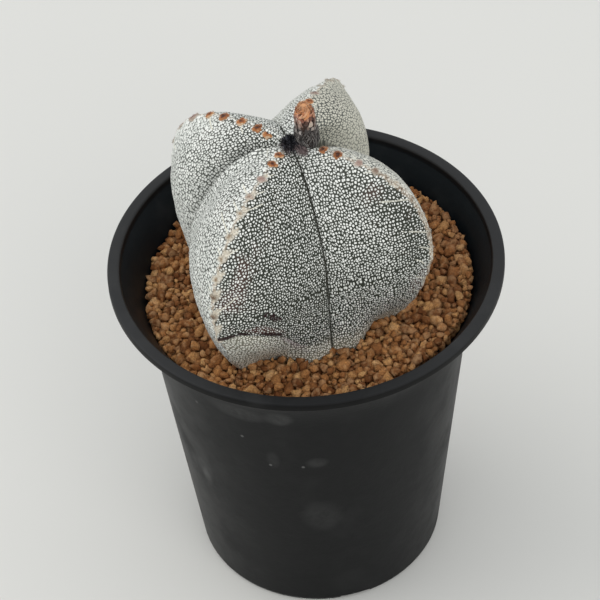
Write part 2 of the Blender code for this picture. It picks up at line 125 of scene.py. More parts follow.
def math_node(operation, swapped=False):
    """An operator's method, which adds one Math node; swapped is for a reflected operator."""
    def method(field, *others):
        values = (*others, field) if swapped else (field, *others)
        return field.finish.node("ShaderNodeMath", {"operation": operation}, dict(enumerate(values)))
    return method


class Field:
    """A number that changes over a surface: a node's socket whose operators add Math nodes."""

    def __init__(self, finish, socket):
        self.finish, self.socket = finish, socket

    __add__ = __radd__ = math_node("ADD")
    __mul__ = __rmul__ = math_node("MULTIPLY")
    __sub__, __rsub__ = math_node("SUBTRACT"), math_node("SUBTRACT", swapped=True)
    __truediv__, __rtruediv__ = math_node("DIVIDE"), math_node("DIVIDE", swapped=True)
    __pow__, __rpow__ = math_node("POWER"), math_node("POWER", swapped=True)
    __lt__, __gt__ = math_node("LESS_THAN"), math_node("GREATER_THAN")
    __abs__, __round__ = math_node("ABSOLUTE"), math_node("ROUND")
    maximum, arctan2 = math_node("MAXIMUM"), math_node("ARCTAN2")

    def between(self, low, high, start=0.0, end=1.0):
        """A smooth step from start to end as the number goes from low to high."""
        return self.finish.node("ShaderNodeMapRange", {"interpolation_type": "SMOOTHSTEP"},
                                {0: self, 1: low, 2: high, 3: start, 4: end})


class Finish:
    """A Principled material built up from nodes."""

    def __init__(self, name, **constants):
        self.material = bpy.data.materials.new(name)
        self.material.use_nodes = True
        self.tree = self.material.node_tree
        self.shader = self.tree.nodes["Principled BSDF"]
        for socket, value in constants.items():
            self.shader.inputs[socket.replace("_", " ")].default_value = value

    def node(self, kind, settings=(), sockets=(), output=0):
        """Add a node: its type, its settings, then the values or links of its sockets."""
        made = self.tree.nodes.new(kind)
        for name, value in dict(settings).items():
            if name == "stops":
                ramp = made.color_ramp
                while len(ramp.elements) < len(value):
                    ramp.elements.new(0.5)
                for element, (place, colour) in zip(ramp.elements, value):
                    element.position, element.color = place, (*colour, 1.0)
            else:
                setattr(made, name, value)
        for name, value in dict(sockets).items():
            self.feed(made.inputs[name], value)
        return Field(self, made.outputs[output])

    def feed(self, socket, value):
        """Link a field to a socket, or set the socket to a plain value."""
        if isinstance(value, Field):
            self.tree.links.new(value.socket, socket)
        elif socket.type == "RGBA" and len(value) == 3:
            socket.default_value = (*value, 1.0)
        else:
            socket.default_value = value

    def place(self):
        """Where a point of the piece is, in mm."""
        spot = self.node("ShaderNodeTexCoord", output="Object")
        return self.node("ShaderNodeVectorMath", {"operation": "SCALE"}, {0: spot, "Scale": 1 / MM})

    def parts(self, vector):
        """The three numbers of a vector."""
        split = self.node("ShaderNodeSeparateXYZ", (), {0: vector})
        return [Field(self, socket) for socket in split.socket.node.outputs]

    def stored(self, name):
        """The three numbers that the mesh holds under a name."""
        return self.parts(self.node("ShaderNodeAttribute", {"attribute_name": name}, output="Vector"))

    def vector(self, x, y, z=0.0):
        return self.node("ShaderNodeCombineXYZ", (), {0: x, 1: y, 2: z})

    def sum(self, one, other):
        return self.node("ShaderNodeVectorMath", {"operation": "ADD"}, {0: one, 1: other})

    def stretch(self, vector, factors):
        return self.node("ShaderNodeVectorMath", {"operation": "MULTIPLY"}, {0: vector, 1: factors})

    def noise(self, vector, size, detail=2.0, roughness=0.5, output="Fac"):
        """Smooth noise from 0 to 1 whose lumps are about size mm apart."""
        return self.node("ShaderNodeTexNoise", (), {"Vector": vector, "Scale": 1 / size, "Detail": detail,
                                                    "Roughness": roughness}, output)

    def cells(self, vector, size, feature="F1", flat=False, output="Distance", randomness=1.0):
        """A cell pattern with cells about size mm across."""
        return self.node("ShaderNodeTexVoronoi",
                         {"feature": feature, "voronoi_dimensions": "2D" if flat else "3D"},
                         {"Vector": vector, "Scale": 1 / size, "Randomness": randomness}, output)

    def mix(self, share, one, other):
        """Colour one with a share of colour other over it."""
        return self.node("ShaderNodeMix", {"data_type": "RGBA"}, {0: share, 6: one, 7: other}, output=2)

    def paint(self, colour, *layers):
        """A colour with layers over it in turn, each a share and a colour."""
        for share, over in layers:
            colour = self.mix(share, colour, over)
        return colour

    def ramp(self, value, *stops):
        """The colour of a value along named stops."""
        return self.node("ShaderNodeValToRGB", {"stops": stops}, {0: value})

    def bump(self, height, distance, below=None):
        """A normal from a height that is distance mm at 1, over another bump."""
        sockets = {"Height": height, "Distance": distance * MM, "Strength": 1.0}
        if below:
            sockets["Normal"] = below
        return self.node("ShaderNodeBump", (), sockets)

    def done(self, **fields):
        for socket, field in fields.items():
            self.feed(self.shader.inputs[socket.replace("_", " ")], field)
        return self.material


# Mesh building

def add_piece(name, points, faces, material, data=None):
    """Put points, in mm, and faces into a smooth mesh object.

    faces is a list of index arrays, and data gives each stored vector's domain and values."""
    mesh = bpy.data.meshes.new(name)
    mesh.vertices.add(len(points))
    mesh.vertices.foreach_set("co", (np.asarray(points) * MM).astype(np.float32).ravel())
    corners = np.concatenate([part.ravel() for part in faces])
    sizes = np.concatenate([np.full(len(part), part.shape[1]) for part in faces])
    mesh.loops.add(len(corners))
    mesh.loops.foreach_set("vertex_index", corners.astype(np.int32))
    mesh.polygons.add(len(sizes))
    mesh.polygons.foreach_set("loop_start", (np.cumsum(sizes) - sizes).astype(np.int32))
    for label, (domain, values) in (data or {}).items():
        layer = mesh.attributes.new(label, "FLOAT_VECTOR", domain)
        layer.data.foreach_set("vector", np.asarray(values).astype(np.float32).ravel())
    mesh.update(calc_edges=True)
    mesh.shade_smooth()
    mesh.materials.append(material)
    piece = bpy.data.objects.new(name, mesh)
    bpy.context.scene.collection.objects.link(piece)
    return piece


def closed_skin(rows, around):
    """Triangles and quads of a skin of rings from a first pole to a last one, turned outwards.

    Point 0 is the first pole, the rings follow in order, and the last point is the other pole.
    Seen from the first pole, every ring runs anticlockwise."""
    i, j = np.meshgrid(np.arange(rows - 1), np.arange(around), indexing="ij")
    k = (j + 1) % around
    a, b = 1 + i * around, 1 + (i + 1) * around
    quads = np.stack([a + j, b + j, b + k, a + k], -1).reshape(-1, 4)
    j = np.arange(around)
    k, low = (j + 1) % around, 1 + (rows - 1) * around
    first = np.stack([0 * j, 1 + j, 1 + k], -1)
    last = np.stack([0 * j + low + around, low + k, low + j], -1)
    return [np.concatenate([first, last]), quads]


def capped(first, rings, last):
    """The points and faces of a skin of rings that a point at each end closes."""
    points = np.concatenate([[first], rings.reshape(-1, 3), [last]])
    return points, closed_skin(*rings.shape[:2])


def repeated(faces, count, points_each):
    """The same faces for count copies whose points follow one another."""
    shifts = np.arange(count)[:, None, None] * points_each
    return [(part[None] + shifts).reshape(-1, part.shape[1]) for part in faces]


def unit(vectors):
    return vectors / np.maximum(np.linalg.norm(vectors, axis=-1, keepdims=True), 1e-9)


def bell(distance, width):
    """A bell curve: e to the power of minus (distance / width) squared."""
    return np.exp(-(distance / width) ** 2)


def clamped(value):
    return np.clip(value, 0, 1)


def table(*columns):
    """Columns of numbers side by side, each repeated to the shape of them all."""
    return np.stack(np.broadcast_arrays(*columns), -1)


def polar(radius, turn, height=0.0):
    """Points (radius cos turn, radius sin turn, height)."""
    return table(radius * np.cos(turn), radius * np.sin(turn), height)


def evenly(count):
    """Directions spaced evenly round a circle."""
    return np.arange(count) * FULL_TURN / count


def hair_share(rows, sides):
    """The share of its length at which each point of a hair made by strands lies."""
    return np.concatenate([[0.0], np.repeat(np.linspace(0, 1, rows)[1:-1], sides), [1.0]])


def ripple(points, length, seed, waves=12):
    """Smooth unevenness of about unit size: a sum of sine waves in random directions."""
    chance = np.random.default_rng(seed)
    run = unit(chance.normal(size=(waves, 3))) * FULL_TURN / length * chance.uniform(0.7, 1.4, (waves, 1))
    return np.sin(points @ run.T + chance.uniform(0, FULL_TURN, waves)).sum(-1) / math.sqrt(waves)


def strands(path, width, thickness, sides, facing=None):
    """Closed tapering blades or hairs along paths of points, each with an elliptic section.

    At each place the section is the middle plus width times the cosine across the blade and
    thickness times the sine through it; across is square to the path and to facing."""
    run = unit(np.gradient(path, axis=1))
    if facing is None:
        facing = np.where(abs(run[..., 2:]) < 0.9, UP, [1.0, 0.0, 0.0])
    across = unit(np.cross(run, facing))
    through = np.cross(across, run)
    turn = evenly(sides)
    rings = (path[:, 1:-1, None] + (across * width[..., None])[:, 1:-1, None] * np.cos(turn)[:, None]
             + (through * thickness[..., None])[:, 1:-1, None] * np.sin(turn)[:, None])
    count, rows = rings.shape[:2]
    points = np.concatenate([path[:, :1], rings.reshape(count, -1, 3), path[:, -1:]], 1)
    return points.reshape(-1, 3), repeated(closed_skin(rows, sides), count, points.shape[1]), points.shape[1]


def hairs(foot, tip, sag, radius, rows=5, sides=4):
    """Hairs from foot to tip that bow by a parabola of height sag and taper to a point."""
    t = np.linspace(0, 1, rows)
    line = foot[:, None] * (1 - t)[:, None] + tip[:, None] * t[:, None]
    path = line + sag[:, None] * (4 * t * (1 - t))[:, None]
    width = radius[:, None] * (1 - 0.75 * t)
    return strands(path, width, width, sides)


def joined(*groups):
    """Several (points, faces, stored values) groups as one."""
    points, faces, data, first = [], [], [], 0
    for spots, parts, values in groups:
        points.append(spots)
        faces += [part + first for part in parts]
        data.append(values)
        first += len(spots)
    return np.concatenate(points), faces, np.concatenate(data)


# Cactus body

def meridian(u, reach, shoulder, depth, tuck):
    """Radius and height down a ridge or groove, for u from 0 at the crown to 2 underneath.

    It is a superellipse of one exponent over the belly and of another under it, with the
    crown dimpled by a bell curve of the radius."""
    above, below = clamped(u) * np.pi / 2, clamped(u - 1) * np.pi / 2
    over = u <= 1.0
    radius = reach * np.where(over, np.sin(above) ** (2 / shoulder), np.cos(below) ** (2 / tuck))
    height = BELLY_HEIGHT + np.where(over, (CROWN_HEIGHT - BELLY_HEIGHT) * np.cos(above) ** (2 / shoulder),
                                     -depth * np.sin(below) ** (2 / tuck))
    return radius, height - DIMPLE_DEPTH * bell(radius, DIMPLE_RADIUS)


def spoke(turn, radius, height):
    """Points at a radius and height in the direction turn from the plant's axis."""
    return AXIS + polar(radius, turn, height)


def off_axis(points):
    """Level unit vectors from the plant's axis towards points."""
    return unit((points - AXIS) * [1, 1, 0])


def ridge(u, rib):
    reach, tuck = RIB_REACHES[rib], RIDGE_TUCKS[rib]
    return spoke(RIB_TURNS[rib], *meridian(u, reach, RIDGE_SHOULDER, RIDGE_DEPTH, tuck))


def groove_turn(rib, side):
    """The groove's direction, midway between a rib and its neighbour on that side."""
    other = RIB_TURNS[(rib + side) % RIBS]
    return RIB_TURNS[rib] + side * ((side * (other - RIB_TURNS[rib])) % FULL_TURN) / 2


def flank(u, w, rib, side):
    """A rib's flank from its ridge, w = 0, to the groove on one side, w = 1.

    It runs straight from one to the other and swells outwards by a parabola of w, which on
    some flanks grows or shrinks with u."""
    top = ridge(u, rib)
    fall = meridian(u, GROOVE_REACH, GROOVE_SHOULDER, GROOVE_DEPTH, GROOVE_TUCK)
    low = spoke(groove_turn(rib, side), *fall)
    chord = low - top
    outward = side * np.stack([chord[..., 1], -chord[..., 0], 0 * chord[..., 2]], -1)
    bulge, gain = UNEVEN_BULGES.get((rib, side), (FLANK_BULGE, 0.0))
    bulge = (bulge + gain * (BULGE_PLACE - u))[:, None, None]
    w = w[:, None]
    return top[:, None] * (1 - w) + low[:, None] * w + outward[:, None] * bulge * 4 * w * (1 - w)


def ridge_walk(rib):
    """Places u down a ridge, the length of ridge to each, and its points."""
    u = np.linspace(0.0, COLLAR, 1200)
    line = ridge(u, rib)
    steps = np.linalg.norm(np.diff(line, axis=0), axis=1)
    return u, np.concatenate([[0.0], np.cumsum(steps)]), line


def areole_lengths(rib):
    """Lengths down a ridge to its areoles, with steady steps after the last named one."""
    _, length, line = ridge_walk(rib)
    named = AREOLE_SPOTS[rib]
    spots = np.concatenate([named, named[-1] + AREOLE_STEP * np.arange(1, 12)])
    height = np.interp(spots, length, line[:, 2])
    last = spots[NAMED_FRONT_AREOLES - 1] if rib == FRONT_RIB else length[-1]
    return spots, int(np.sum((height >= SOIL_LEVEL + AREOLE_CLEARANCE) & (spots <= last)))


def flank_patches():
    """The plant as eight flanks of points, each (rows, FLANK_STEPS + 1, 3), crown to root tip."""
    t = np.linspace(0, 1, FLANK_STEPS + 1)
    share = 0.55 * t + 0.45 * (0.5 - 0.5 * np.cos(np.pi * t))
    u = COLLAR * np.arange(1, MERIDIAN_STEPS + 1) / MERIDIAN_STEPS
    patches = np.stack([flank(u, share[::-1] if side < 0 else share, rib, side)
                        for rib in range(RIBS) for side in (-1, 1)], 1)
    collar = patches[-1]
    out = off_axis(collar)
    turn = np.linspace(0, np.pi / 2, 9)[1:, None, None, None]
    neck = AXIS + out * NECK_RADIUS
    closing = neck + (collar - neck) * np.cos(turn)
    closing[..., 2] = collar[..., 2] + (NECK_HEIGHT - collar[..., 2]) * np.sin(turn[..., 0])
    drop = np.linspace(0, 0.97, 8)[1:, None, None, None]
    root = AXIS + out * NECK_RADIUS * (1 - drop) ** 0.7
    root[..., 2] = NECK_HEIGHT + (ROOT_TIP_HEIGHT - NECK_HEIGHT) * drop[..., 0]
    return u, np.concatenate([patches, closing, root])


def lay_flat(patches):
    """Every flank laid out flat in mm, as even in all directions as a curved sheet allows.

    A coarse net of its points is unwrapped conformally, which keeps angles. The result is
    turned so that the ridge runs along the second number and scaled to the net's own size."""
    def sides(net):
        """The lengths of a net's sides, summed for each flank."""
        return sum(np.linalg.norm(np.diff(net, axis=axis), axis=3).sum((1, 2)) for axis in (1, 2))

    rows = np.round((MERIDIAN_STEPS - 1) * np.linspace(0, 1, LAY_ROWS) ** 1.5).astype(int)
    columns = np.round(np.linspace(0, FLANK_STEPS, LAY_COLUMNS)).astype(int)
    net = patches[rows][:, :, columns].transpose(1, 0, 2, 3)
    i, j = np.meshgrid(np.arange(LAY_ROWS - 1), np.arange(LAY_COLUMNS - 1), indexing="ij")
    first = i * LAY_COLUMNS + j
    quads = np.stack([first, first + LAY_COLUMNS, first + LAY_COLUMNS + 1, first + 1], -1).reshape(-1, 4)
    faces = repeated([quads], len(net), LAY_ROWS * LAY_COLUMNS)[0]
    mesh = bpy.data.meshes.new("flat_flanks")
    mesh.from_pydata(net.reshape(-1, 3).tolist(), [], faces.tolist())
    mesh.uv_layers.new(name="flat")
    sheet = bpy.data.objects.new("flat_flanks", mesh)
    bpy.context.scene.collection.objects.link(sheet)
    bpy.context.view_layer.objects.active = sheet
    sheet.select_set(True)
    bpy.ops.object.mode_set(mode="EDIT")
    bpy.ops.mesh.select_all(action="SELECT")
    bpy.ops.uv.unwrap(method="CONFORMAL", fill_holes=False, correct_aspect=False, margin=0.001)
    bpy.ops.object.mode_set(mode="OBJECT")
    flat, corner = np.zeros(2 * len(mesh.loops), np.float32), np.zeros(len(mesh.loops), np.int32)
    mesh.uv_layers["flat"].data.foreach_get("uv", flat)
    mesh.loops.foreach_get("vertex_index", corner)
    place = np.zeros(len(mesh.vertices), complex)
    place[corner] = flat[0::2] + 1j * flat[1::2]
    bpy.data.objects.remove(sheet, do_unlink=True)
    bpy.data.meshes.remove(mesh)
    place = place.reshape(net.shape[:3])
    crest = np.where(np.arange(FLANKS)[:, None] % 2 == 0, place[:, :, -1], place[:, :, 0])
    along = crest[:, -1] - crest[:, LAY_ROWS // 3]
    grown = 1j * abs(along) / along * sides(net) / sides(place[..., None])
    place = (place - crest[:, LAY_ROWS // 2, None, None]) * grown[:, None, None]
    down, over = (np.stack([np.interp(np.arange(count), known, share) for share in np.eye(len(known))], -1)
                  for count, known in ((len(patches), rows), (FLANK_STEPS + 1, columns)))
    place = np.einsum("ra,kab,cb->rkc", down, place, over)
    return place.real, place.imag


# The growth step round the front rib: length down the flank at lengths across from the ridge,
# how far the skin goes in under it at the ridge and on the face, and the lip over it
STEP_ACROSS = (0.0, 3.7, 7.3, 12.5, 16.6, 21.4, 25.3)
STEP_DOWN = (67.6, 66.0, 63.9, 64.6, 66.0, 68.0, 73.0)
RIDGE_INSET, FACE_INSET, INSET_END = 1.0, 0.20, 15.0
LIP_DROP, LIP_SWELL = 2.0, 0.75
SCAR_RISE, NO_SCAR = 0.7, 99.0     # how far above the step the dark scar lies, and where none is
# Near the soil the groove in front comes out and the flanks beside it go in, by up to this
BASE_SHIFT, BASE_SPREAD, BASE_TOP = 3.0, 24.0, 20.0
# Grooves: their filling out, the crease in them, and over UPPER_FOOT the swelling beside one
# and the hollow of those half hidden, whose width is given for each flank
GROOVE_FILL, FILL_WIDTH = 0.6, 4.5
GROOVE_CREASE, CREASE_WIDTH = 1.2, 0.4
UPPER_FOOT, UPPER_RISE = 116.0, 12.0
BURIED_FOOT, BURIED_RISE = 96.0, 6.0    # below this the form stays plain
GROOVE_SWELL, SWELL_PLACE, SWELL_WIDTH, SWOLLEN_FLANK = 1.5, 3.0, 2.2, 0
GROOVE_HOLLOW, HOLLOW_WIDTHS = 5.0, np.array([1.3, 0.0, 0.0, 5.0, 5.5, 0.0, 0.0, 5.5])
# Ridges: the rounding of their edge and their swelling between areoles
RIDGE_ROUNDING, RIDGE_EDGE = 0.20, 1.0
AREOLE_SWELL, AREOLE_SWELL_WIDTH = 0.16, 2.4
RIPPLES = ((0.30, 24.0, 5), (0.07, 6.0, 6))    # height, length and seed of each
GROWTH_SLOPE, GROWTH_TURN = 0.55, 0.026
# How white each flank is at the crown and low down
CROWN_FROST = (0.8, 0.0, 0.4, 1.2, 0.7, 0.9, 0.5, -0.15)
LOW_FROST, FROST_LENGTH = (1.0, -0.7, -0.2, 1.2, 1.1, 0.9, 0.7, 1.4), 55.0


def each_flank(values):
    return np.reshape(values, (1, FLANKS, 1)).astype(float)


def cactus_form():
    """The body's points (rows, around, 3) and what its corners store, from the flank patches.

    The patches are moved along their normals by the sum of these: the ridge rounded by a bell
    curve, the groove creased by a narrower one, a swelling between areoles as a cosine of
    their spacing, a lip and a step in under the growth line, and two ripples. The shift near
    the soil goes straight out from the plant's axis beside a groove, so its sides never meet."""
    u, patches = flank_patches()
    rows = len(patches)
    steps = np.linalg.norm(np.diff(patches, axis=2), axis=3)
    run = np.concatenate([np.zeros((rows, FLANKS, 1)), np.cumsum(steps, axis=2)], 2)
    side, number = each_flank([-1, 1] * RIBS), each_flank(np.arange(FLANKS))
    across = np.where(side < 0, run - run[..., -1:], run)
    from_ridge, from_groove = abs(across), np.where(side < 0, run, run[..., -1:] - run)
    middle = patches[:, :, FLANK_STEPS // 2]
    down = np.cumsum(np.linalg.norm(np.diff(middle, axis=0, prepend=middle[:1]), axis=2), axis=0)[..., None]
    phase = np.zeros_like(across)
    for rib in range(RIBS):
        places, length, _ = ridge_walk(rib)
        spots, _ = areole_lengths(rib)
        spots = np.concatenate([[spots[0] - 6.0], spots, [spots[-1] + 60.0]])
        at = np.interp(np.interp(np.arange(rows), np.arange(len(u)), u), places, length)[:, None, None]
        at = at - (GROWTH_SLOPE - GROWTH_TURN * at) * from_ridge[:, 2 * rib:2 * rib + 2]
        phase[:, 2 * rib:2 * rib + 2] = np.interp(at, spots, np.arange(len(spots))) - 1.0
    crown_frost, low_frost = each_flank(CROWN_FROST), each_flank(LOW_FROST)
    frost = crown_frost + (low_frost - crown_frost) * clamped(down / FROST_LENGTH)
    beyond = down - np.interp(from_ridge, STEP_ACROSS, STEP_DOWN)
    front = number // 2 == FRONT_RIB
    scar = np.where(front & (side > 0), beyond, NO_SCAR)

    points = patches[:, :, :-1].reshape(rows, -1, 3)
    normal = unit(np.cross(np.gradient(points, axis=0), np.roll(points, -1, 1) - np.roll(points, 1, 1)))
    height = patches[..., 2]
    girth = clamped(np.linalg.norm((patches - AXIS)[..., :2], axis=3) / DIMPLE_RADIUS) ** 2
    buried = clamped((height - BURIED_FOOT) / BURIED_RISE)
    upper = clamped((height - UPPER_FOOT) / UPPER_RISE)
    hollow = each_flank(HOLLOW_WIDTHS)
    move = AREOLE_SWELL * bell(from_ridge, AREOLE_SWELL_WIDTH) * -np.cos(FULL_TURN * phase)
    move += GROOVE_FILL * bell(from_groove, FILL_WIDTH) - GROOVE_CREASE * bell(from_groove, CREASE_WIDTH)
    move += upper * (GROOVE_SWELL * (number == SWOLLEN_FLANK) * bell(from_groove - SWELL_PLACE, SWELL_WIDTH)
                     - GROOVE_HOLLOW * (hollow > 0) * bell(from_groove, np.maximum(hollow, 0.1)))
    under = beyond - LIP_DROP * bell(from_ridge, 3.5)
    fade = front * np.exp(-(from_ridge / np.where(side > 0, 24.0, 6.0)) ** 4)
    inset = (RIDGE_INSET * bell(from_ridge, 7.0) + FACE_INSET) * fade
    move -= inset * np.clip(1.25 - under / INSET_END, 0, 1) / (1 + np.exp(-np.clip(under / 0.22, -30, 30)))
    move += (LIP_SWELL * front * bell(from_ridge, 2.2) * bell(under + 0.9, 1.0)
             - RIDGE_ROUNDING * bell(from_ridge, RIDGE_EDGE))
    sway = np.clip(1.8 * np.cos(np.pi * from_groove / BASE_SPREAD), -1, 1) * (1 - bell(from_ridge, 6.0))
    near_soil = clamped(1 - (height - SOIL_LEVEL) / BASE_TOP) ** 1.3
    shift = BASE_SHIFT * np.isin(number, FRONT_GROOVE) * near_soil * sway

    def joined_up(values):
        """A value of each flank point for each of the body's points."""
        return values[:, :, :-1].reshape(rows, -1, 1)

    lean = joined_up(bell(from_groove, 7.0))
    straight = unit(normal * (1 - lean) + off_axis(points) * lean)
    waves = sum(rise * ripple(points, length, seed) for rise, length, seed in RIPPLES)[..., None]
    points = (points + normal * (joined_up(move * buried * girth) + waves * joined_up(girth))
              + straight * joined_up(shift * buried * girth))
    flat_x, flat_y = lay_flat(patches)
    flat_x = flat_x - GROOVE_CROWDING * across * from_ridge + LAY_SPACING * number
    stored = {"skin": (across, down, phase), "growth": (from_groove, number, frost),
              "lay": (flat_x, flat_y, 0.0), "mark": (scar, height - SOIL_LEVEL, from_ridge)}
    return points, stored


def corner_values(parts):
    """Three numbers at every face corner, in the order of closed_skin's faces."""
    value = table(*parts)
    left, right = value[:, :, :-1], value[:, :, 1:]
    quads = np.stack([left[:-1], left[1:], right[1:], right[:-1]], 3).reshape(-1, 3)
    first = np.stack([(left[0] + right[0]) / 2, left[0], right[0]], 2).reshape(-1, 3)
    last = np.stack([(left[-1] + right[-1]) / 2, right[-1], left[-1]], 2).reshape(-1, 3)
    return np.concatenate([first, last, quads])


def make_cactus():
    points, stored = cactus_form()
    skin = capped(points[0].mean(0) - 0.02 * UP, points, AXIS + UP * ROOT_TIP_HEIGHT)
    data = {name: ("CORNER", corner_values(parts)) for name, parts in stored.items()}
    body = add_piece("cactus_body", *skin, cactus_skin(), data)
    ride(body, "cactus_skin", "cactus")
    return points


# Skin and wool, in the order from dark to pale, then the marks on them and the painted shade in the grooves
DARK_GREEN, PALE_GREEN, RUST = (0.022, 0.027, 0.019), (0.046, 0.050, 0.038), (0.085, 0.044, 0.036)
FROSTED_SKIN, OLD_SKIN, PLAIN_SKIN = (0.24, 0.25, 0.23), (0.28, 0.27, 0.205), (0.42, 0.42, 0.35)
DULL_WOOL, WHITE_WOOL = (0.66, 0.68, 0.63), (0.87, 0.88, 0.83)
SALLOW_WOOL, OLD_WOOL, LINE_WOOL = (0.60, 0.58, 0.48), (0.98, 0.96, 0.86), (0.74, 0.72, 0.61)
TAN_WOOL, CREAM_WOOL = (0.60, 0.50, 0.36), (0.82, 0.78, 0.68)
PURPLE, BROWNED, SCAR_BLACK, GROOVE_SHADE = ((0.26, 0.16, 0.23), (0.085, 0.034, 0.030), (0.024, 0.009, 0.010),
                                            (0.045, 0.045, 0.032))
SCAR_GAP, SPOTS_ACROSS, SPOTS_OVER = 12.2, 18.0, 8.6    # in mm across from the front ridge and over the step


def cactus_skin():
    """Dark grey-green skin under white woolly flecks, tan along the ridges, with painted shade along the
    grooves.

    The flecks are where a 2D cell pattern on the flat lay of each flank is near a cell's
    heart; a noise drawn out along the ridge joins some into dashes, most near the grooves."""
    finish = Finish("cactus_skin", Specular_IOR_Level=0.2)
    across, down, phase = finish.stored("skin")
    to_groove, flank_number, frost = finish.stored("growth")
    scar, above_soil, from_ridge = finish.stored("mark")
    flat_x, flat_y, _ = finish.stored("lay")
    second = across > 0.0
    rib = round((flank_number - second) * 0.5)
    spot = finish.vector(flat_x, flat_y)
    wander = finish.stretch(finish.noise(spot, 1.8, 1.0, output="Color"), (0.62, 0.62, 0.0))
    drift = finish.stretch(finish.noise(spot, 12.0, 0.0, output="Color"), (1.3, 1.3, 0.0))
    bent = finish.sum(finish.sum(spot, wander), drift)
    soft, patchy = finish.noise(spot, 4.0, 2.0), finish.noise(spot, 11.0, 3.0)

    # The front flank of the right rib, its far side with the rear rib's near one, the left
    # rib's face away from its ridge, the rear rib low down, and the skin under the scar
    right = (flank_number > 1.5) * (flank_number < 2.5)
    sallow = (flank_number > 2.5) * (flank_number < 4.5)
    hazy = (flank_number > 6.5) * from_ridge.between(3.0, 15.0, 1.0, 0.0) * down.between(12.0, 26.0)
    plain = (flank_number > 3.5) * (flank_number < 5.5) * (down + second * 8.0).between(20.0, 34.0)
    below = scar.between(0.0, 1.5) * (scar < NO_SCAR - 9.0)

    # Round flecks that run together along the groove near it and low down
    dashed = (to_groove + soft * 6.0 - down.between(24.0, 66.0, 0.0, 15.0)).between(2.0, 7.0, 1.0, 0.0)
    heart, wall = (finish.cells(bent, FLECK_PITCH, feature, True, randomness=0.85)
                   for feature in ("F1", "DISTANCE_TO_EDGE"))
    tone = finish.parts(finish.cells(bent, FLECK_PITCH, "F1", True, output="Color", randomness=0.85))[0]
    streak = finish.noise(finish.stretch(bent, (1.0, 0.36, 0.0)), 0.60, 0.0)
    belt = abs(down - 38.0).between(10.0, 20.0, 1.0, 0.0)
    crowd = (frost * 0.12 + from_ridge.between(0.6, 5.0, 0.07, 0.0)
             + (patchy - 0.5) * 0.12 + (tone - 0.5) * 0.06
             + sallow * down.between(12.0, 36.0, -0.03, 0.03) + hazy * 0.14 + below * 0.10
             + right * from_ridge.between(4.0, 15.0, -0.12, 0.0) * belt)
    fleck = (wall - heart * 0.65 + (streak - 0.5) * (dashed * (0.45 - below * 0.3) + 0.10) + crowd
             + (finish.noise(bent, 1.25, 0.0) - 0.5) * 0.36).between(-0.11, 0.0)

    # Growth lines that slant out from some areoles
    nearest = round(phase)
    luck = finish.node("ShaderNodeTexWhiteNoise", {"noise_dimensions": "2D"},
                       {"Vector": finish.vector(nearest + rib * 20.0, second)})
    waver = (finish.noise(spot, 2.0, 2.0) - 0.5) * 0.09
    stroke = abs(phase + waver - nearest).between(0.025, 0.065, 1.0, 0.0)
    stroke = stroke * (from_ridge - luck * 9.0).between(-1.0, 0.3, 1.0, 0.0) * (luck > 0.15)
    stroke = stroke * down.between(6.0, 8.0) * soft.between(0.32, 0.46) * (1.0 - right * 0.25)

    # Skin and wool: paler and browner towards the soil and below the growth step
    rusty = patchy.between(0.50, 0.64) * down.between(12.0, 30.0) * from_ridge.between(7.0, 15.0, 0.7, 0.0)
    old = (above_soil + soft * 3.0).between(3.0, 12.0, 0.85, 0.0)
    old = old.maximum(below * across.between(12.0, 22.0, 0.8, 0.4))
    skin = finish.paint(finish.mix(soft, DARK_GREEN, PALE_GREEN), (rusty, RUST),
                        (frost.maximum(0.0) * 0.42 + hazy * 0.25, FROSTED_SKIN),
                        (old, OLD_SKIN), (plain * 0.5, PLAIN_SKIN))
    wool = finish.paint(finish.mix(tone, DULL_WOOL, WHITE_WOOL),
                        (sallow * (rib * 0.4 + 0.05), SALLOW_WOOL), (old, OLD_WOOL))
    blush = (scar + abs(across - 23.0) * 1.2 + soft * 3.0).between(3.0, 10.0, 0.35, 0.0) * below

    # The ridge's corky band and the wool round each areole
    ragged = finish.noise(spot, 1.1, 3.0, 0.6)
    band = (from_ridge - right * 0.7 + (ragged - 0.5) * 3.2).between(0.10, 0.85, 1.0, 0.0)
    band = band * down.between(4.0, 12.0)
    cork = finish.ramp(ragged, (0.30, (0.12, 0.06, 0.04)), (0.45, (0.50, 0.40, 0.29)),
                       (0.62, (0.80, 0.75, 0.65)))
    halo = (((phase - nearest) * AREOLE_STEP) ** 2.0 + from_ridge ** 2.0) ** 0.5 + (ragged - 0.5) * 3.0
    halo = halo.between(1.4, 2.9, 0.80, 0.0) * scar.between(0.0, 2.0, 1.0, 0.0)

    # The dark growth scar on the front rib, with spots above it
    off_gap, over_spots = abs(across - SCAR_GAP), across - SPOTS_ACROSS
    thick = off_gap.between(1.8, 3.6, 0.50, 1.15) + (ragged - 0.5) * 0.9
    scar_line = (abs(scar + SCAR_RISE + (soft - 0.5) * 0.9) / thick).between(0.55, 1.0, 1.0, 0.0)
    scar_line = scar_line * off_gap.between(1.1, 1.9) * across.between(19.8, 21.8, 1.0, 0.0) * (across > 0.15)
    scar_line = scar_line * finish.noise(finish.stretch(spot, (1.0, 0.5, 1.0)), 1.4, 3.0).between(0.28, 0.38)
    spots = abs(over_spots) / 4.5 + abs(scar + SPOTS_OVER + over_spots * -0.35) / 3.0
    spots = (spots + (finish.noise(spot, 1.6, 2.0) - 0.5) * 2.6).between(0.45, 0.75, 1.0, 0.0)
    browned = (abs(scar + 2.6) / 2.8 + abs(across - 15.0) / 9.0).between(0.5, 1.1, 0.75, 0.0) * (1.0 - fleck)
    dark = (scar_line * 0.94).maximum(spots * fleck.between(0.0, 1.0, 0.95, 0.8))
    # Painted shade along each groove: a thin dark line that widens lower down
    crease_shade = (to_groove - down.between(15.0, 50.0, 0.0, 0.14)).between(0.14, 0.54, 1.0, 0.0)

